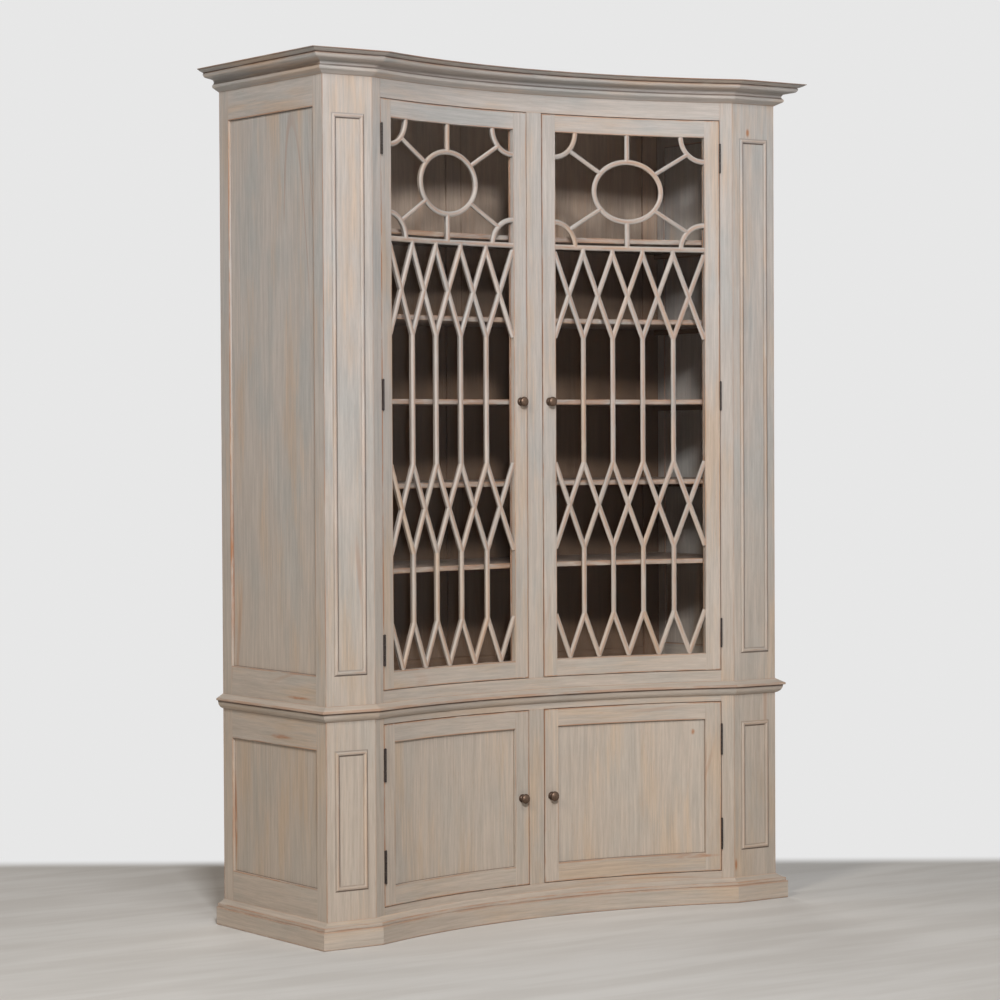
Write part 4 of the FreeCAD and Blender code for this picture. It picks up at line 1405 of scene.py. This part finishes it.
def upper_door(side, word):
    """Glazed door; gives what its fittings need."""
    prefix = "upper_door_" + word
    body = "upper_" + word + "_door"
    z0, z1 = heights(prefix + "_stiles")
    rail = heights(prefix + "_glazing_bars")[0] - z0
    stiles, rails, inner, outer = framed_door(
        side, z0, z1, upper_stile_width, rail, rail, True
    )
    share_tone(stiles)
    share_tone(rails)
    door_boards(prefix, body, stiles, rails)
    bottom = z0 + rail
    top = z1 - rail
    bars = lattice(side, inner, outer, bottom, top)
    make_wood(prefix + "_lattice", bars, prefix + "_glazing_bars", body=body)
    edge = glass_rebate - glass_clearance
    pane = bow_block(
        side * (inner - edge), side * (outer + edge), glass_front, glass_back,
        bottom - edge, top + edge, 2, radius=glass_ease,
    )
    make_piece(prefix + "_pane", body, [pane], glass, [prefix + "_glass"])
    low = bottom - glass_rebate
    high = top + glass_rebate
    beads = [
        bow_block(
            side * s0, side * s1, glass_back, door_thickness, start, end, along, radius=fine_ease
        )
        for s0, s1, start, end, along in (
            (inner - glass_rebate, inner, low, high, 2),
            (outer, outer + glass_rebate, low, high, 2),
            (inner, outer, low, bottom, 0),
            (inner, outer, top, high, 0),
        )
    ]
    make_wood(prefix + "_rear_beads", beads, prefix + "_glazing_beads", body=body)
    return body, prefix, (z0 + z1) / 2 - upper_knob_drop, upper_hinge_length, upper_stile_width


def lower_door(side, word):
    """Panelled door; gives what its fittings need."""
    prefix = "lower_door_" + word
    body = "lower_" + word + "_door"
    z0, z1 = heights(prefix + "_stiles")
    stiles, rails, inner, outer = framed_door(
        side, z0, z1, lower_stile_width, lower_bottom_rail, lower_top_rail, False
    )
    door_boards(prefix, body, stiles, rails)
    field = bow_block(
        side * (inner - groove_depth), side * (outer + groove_depth),
        panel_setback, panel_setback + panel_thickness,
        z0 + lower_bottom_rail - groove_depth, z1 - lower_top_rail + groove_depth, 2,
        rim=panel_rim,
    )
    make_wood(prefix + "_field", [field], prefix + "_panel", body=body)
    return body, prefix, (z0 + z1) / 2 - lower_knob_drop, lower_hinge_length, lower_stile_width


def hang(side, door, frame_parts, pins, catches):
    """Knob, hinge leaves and strikes of one door; adds the frame's own parts."""
    body, prefix, knob_level, length, stile_width = door
    meeting = door_edges()[0]
    turned_knob = knob(side, meeting + stile_width / 2, knob_level)
    make_piece(prefix + "_knob", body, [turned_knob], aged_bronze, [])
    door_parts = []
    for level in hinge_levels(prefix + "_stiles"):
        fixed, moving, pin = hinges(side, level, length)
        frame_parts += fixed
        door_parts += moving
        pins.append(pin)
    node = prefix + "_fittings"
    make_piece(prefix + "_hinge_leaves", body, door_parts, dark_iron, [node])
    strikes = [strike(side, level) for level in catches]
    make_piece(prefix + "_strikes", body, strikes, catch_steel, [])


def doors():
    """Four doors with their fittings, and the hinge parts and catches on the case."""
    frame_parts = []
    pins = []
    drop = door_gap + catch_inset + catch_height / 2
    upper_low, upper_high = heights("upper_door_right_stiles")
    lower_high = heights("lower_door_right_stiles")[1]
    upper_catches = [upper_low - door_gap + drop, upper_high + door_gap - drop]
    lower_catches = [lower_high + door_gap - drop]
    for side, word in ((-1, "left"), (1, "right")):
        hang(side, upper_door(side, word), frame_parts, pins, upper_catches)
        hang(side, lower_door(side, word), frame_parts, pins, lower_catches)
    leaves = ["hinge_frame_leaves"]
    make_piece("hinge_leaves_on_frame", "carcass", frame_parts, dark_iron, leaves)
    make_piece("hinge_pin_rods", "carcass", pins, dark_iron, ["hinge_pins"])
    half = arc(catch_half_width)
    front = front_thickness + fit_gap
    housings = [
        bow_block(
            -half, half, front, front + catch_depth,
            level - catch_height / 2, level + catch_height / 2, 0, radius=catch_ease,
        )
        for level in upper_catches + lower_catches
    ]
    make_piece("catch_housings", "carcass", housings, catch_steel, ["door_catches"])


frame_mouldings()
case_front("base", *base_opening)
case_front("upper", *upper_opening)
case_sides("base", *base_side_opening)
case_sides("upper", *upper_side_opening)
case_boards()
case_backs()
doors()


# Room: pale floor that fades to the white surround, soft light and the camera
surround_white = 0.80
floor_drop = 0.0005


def seen_directly(web):
    """1 where the eye meets a surface at once, in a mirror or through glass."""
    path = web.put("ShaderNodeLightPath").outputs
    seen = web.math("MAXIMUM", path["Is Camera Ray"], path["Is Glossy Ray"])
    seen = web.math("MAXIMUM", seen, path["Is Transmission Ray"])
    return web.math("MULTIPLY", seen, web.math("LESS_THAN", path["Diffuse Depth"], 0.5))


def pale_floor():
    """Round floor: point = radius (cos t, sin t), flat at the cabinet's feet. It
    fades to the surround with the distance and beyond the line of the photo's wall."""
    rings = np.array([0.0, 0.8, 1.6, 2.4, 3.4, 5.0, 8.0, 14.0, 30.0, 60.0])
    sides = 72
    turn = 2 * math.pi * np.arange(sides) / sides
    circle = rings[1:, None, None] * np.stack([np.cos(turn), np.sin(turn)], -1)[None]
    points = np.vstack([[0, 0], circle.reshape(-1, 2)])
    points = np.column_stack([points, np.full(len(points), -floor_drop)])
    first = np.arange(sides)
    fan = np.stack([np.zeros(sides, int), 1 + first, 1 + np.roll(first, -1)], -1)
    quads = loop_faces(len(rings) - 1, sides, False)[:, ::-1] + 1
    mesh = bpy.data.meshes.new("floor")
    mesh.from_pydata(points.tolist(), [], fan.tolist() + quads.tolist())
    floor = new_object("floor", mesh)
    material, web, shader = new_material("pale_floor", Roughness=0.8, Specular_IOR_Level=0.0)
    place = web.put("ShaderNodeTexCoord").outputs["Object"]
    plank = web.noise(place, (1.2, 7.0, 1.0), 3.0, 0.55)
    colour = web.mix(web.span(plank, 0.35, 0.65), srgb(214, 211, 207), srgb(224, 222, 219))
    links = web.tree.links
    links.new(colour, shader.inputs["Base Color"])
    distance = web.vector("LENGTH", place)["Value"]
    beyond = web.vector("DOT_PRODUCT", place, (0.573, 0.820, 0.0))["Value"]
    fade = web.math("MAXIMUM", web.span(distance, 2.2, 4.0), web.span(beyond, 0.92, 1.12))
    glow = web.put("ShaderNodeEmission", {"Color": (1, 1, 1, 1), "Strength": surround_white})
    blend = web.put("ShaderNodeMixShader", {0: web.math("MULTIPLY", fade, seen_directly(web))})
    links.new(shader.outputs[0], blend.inputs[1])
    links.new(glow.outputs[0], blend.inputs[2])
    links.new(blend.outputs[0], web.tree.nodes["Material Output"].inputs[0])
    mesh.materials.append(material)


def white_surround(ambient, tint):
    """World that is white to the eye and a plain soft light to the surfaces."""
    world = bpy.data.worlds.new("surround")
    bpy.context.scene.world = world
    world.use_nodes = True
    web = Web(world.node_tree)
    seen = seen_directly(web)
    strength = web.put("ShaderNodeMapRange", {0: seen, 3: ambient, 4: surround_white}).outputs[0]
    background = world.node_tree.nodes["Background"]
    colour = web.mix(seen, tint, (1.0, 1.0, 1.0, 1.0))
    web.tree.links.new(colour, background.inputs["Color"])
    web.tree.links.new(strength, background.inputs["Strength"])


def soft_lamp(name, place, target, size, watts, colour):
    """Square area lamp at a place, turned to a target."""
    lamp = bpy.data.lights.new(name, "AREA")
    lamp.shape = "RECTANGLE"
    lamp.size = size
    lamp.size_y = size
    lamp.energy = watts
    lamp.color = colour
    holder = new_object(name, lamp)
    holder.location = place
    holder.rotation_mode = "QUATERNION"
    holder.rotation_quaternion = (Vector(target) - Vector(place)).to_track_quat("-Z", "Y")


def camera():
    """Camera at the photograph's viewpoint, found from its straight edges."""
    yaw = 0.609737
    pitch = 0.022076
    roll = -0.00495
    forward = Vector((
        math.sin(yaw) * math.cos(pitch), math.cos(yaw) * math.cos(pitch), -math.sin(pitch)
    ))
    level_right = Vector((math.cos(yaw), -math.sin(yaw), 0))
    level_up = level_right.cross(forward)
    right = level_right * math.cos(roll) + level_up * math.sin(roll)
    up = level_up * math.cos(roll) - level_right * math.sin(roll)
    data = bpy.data.cameras.new("photo_view")
    data.sensor_width = 36.0
    data.lens = 110.73
    data.clip_end = 200.0
    holder = new_object("photo_view", data)
    turn = Matrix((right, up, -forward)).transposed().to_4x4()
    holder.matrix_world = Matrix.Translation((-5.09174, -7.22893, 1.38146)) @ turn
    bpy.context.scene.camera = holder


pale_floor()
white_surround(0.04, (1.0, 0.90, 0.80, 1.0))
case_middle = (0.0, -0.1, 1.2)
soft_lamp("front_low", (-4.0, -6.7, 4.5), case_middle, 0.9, 450.0, (0.98, 0.99, 1.0))
soft_lamp("front_high", (-1.75, -6.5, 8.0), case_middle, 2.4, 150.0, (0.99, 0.99, 1.0))
soft_lamp("left_window", (-7.8, -4.4, 5.7), case_middle, 1.5, 225.0, (1.0, 0.90, 0.77))
soft_lamp("behind", (3.0, 7.0, 2.4), (0.0, 0.3, 1.2), 3.0, 200.0, (1.0, 0.98, 0.95))
camera()
bpy.context.scene.view_settings.view_transform = "Standard"
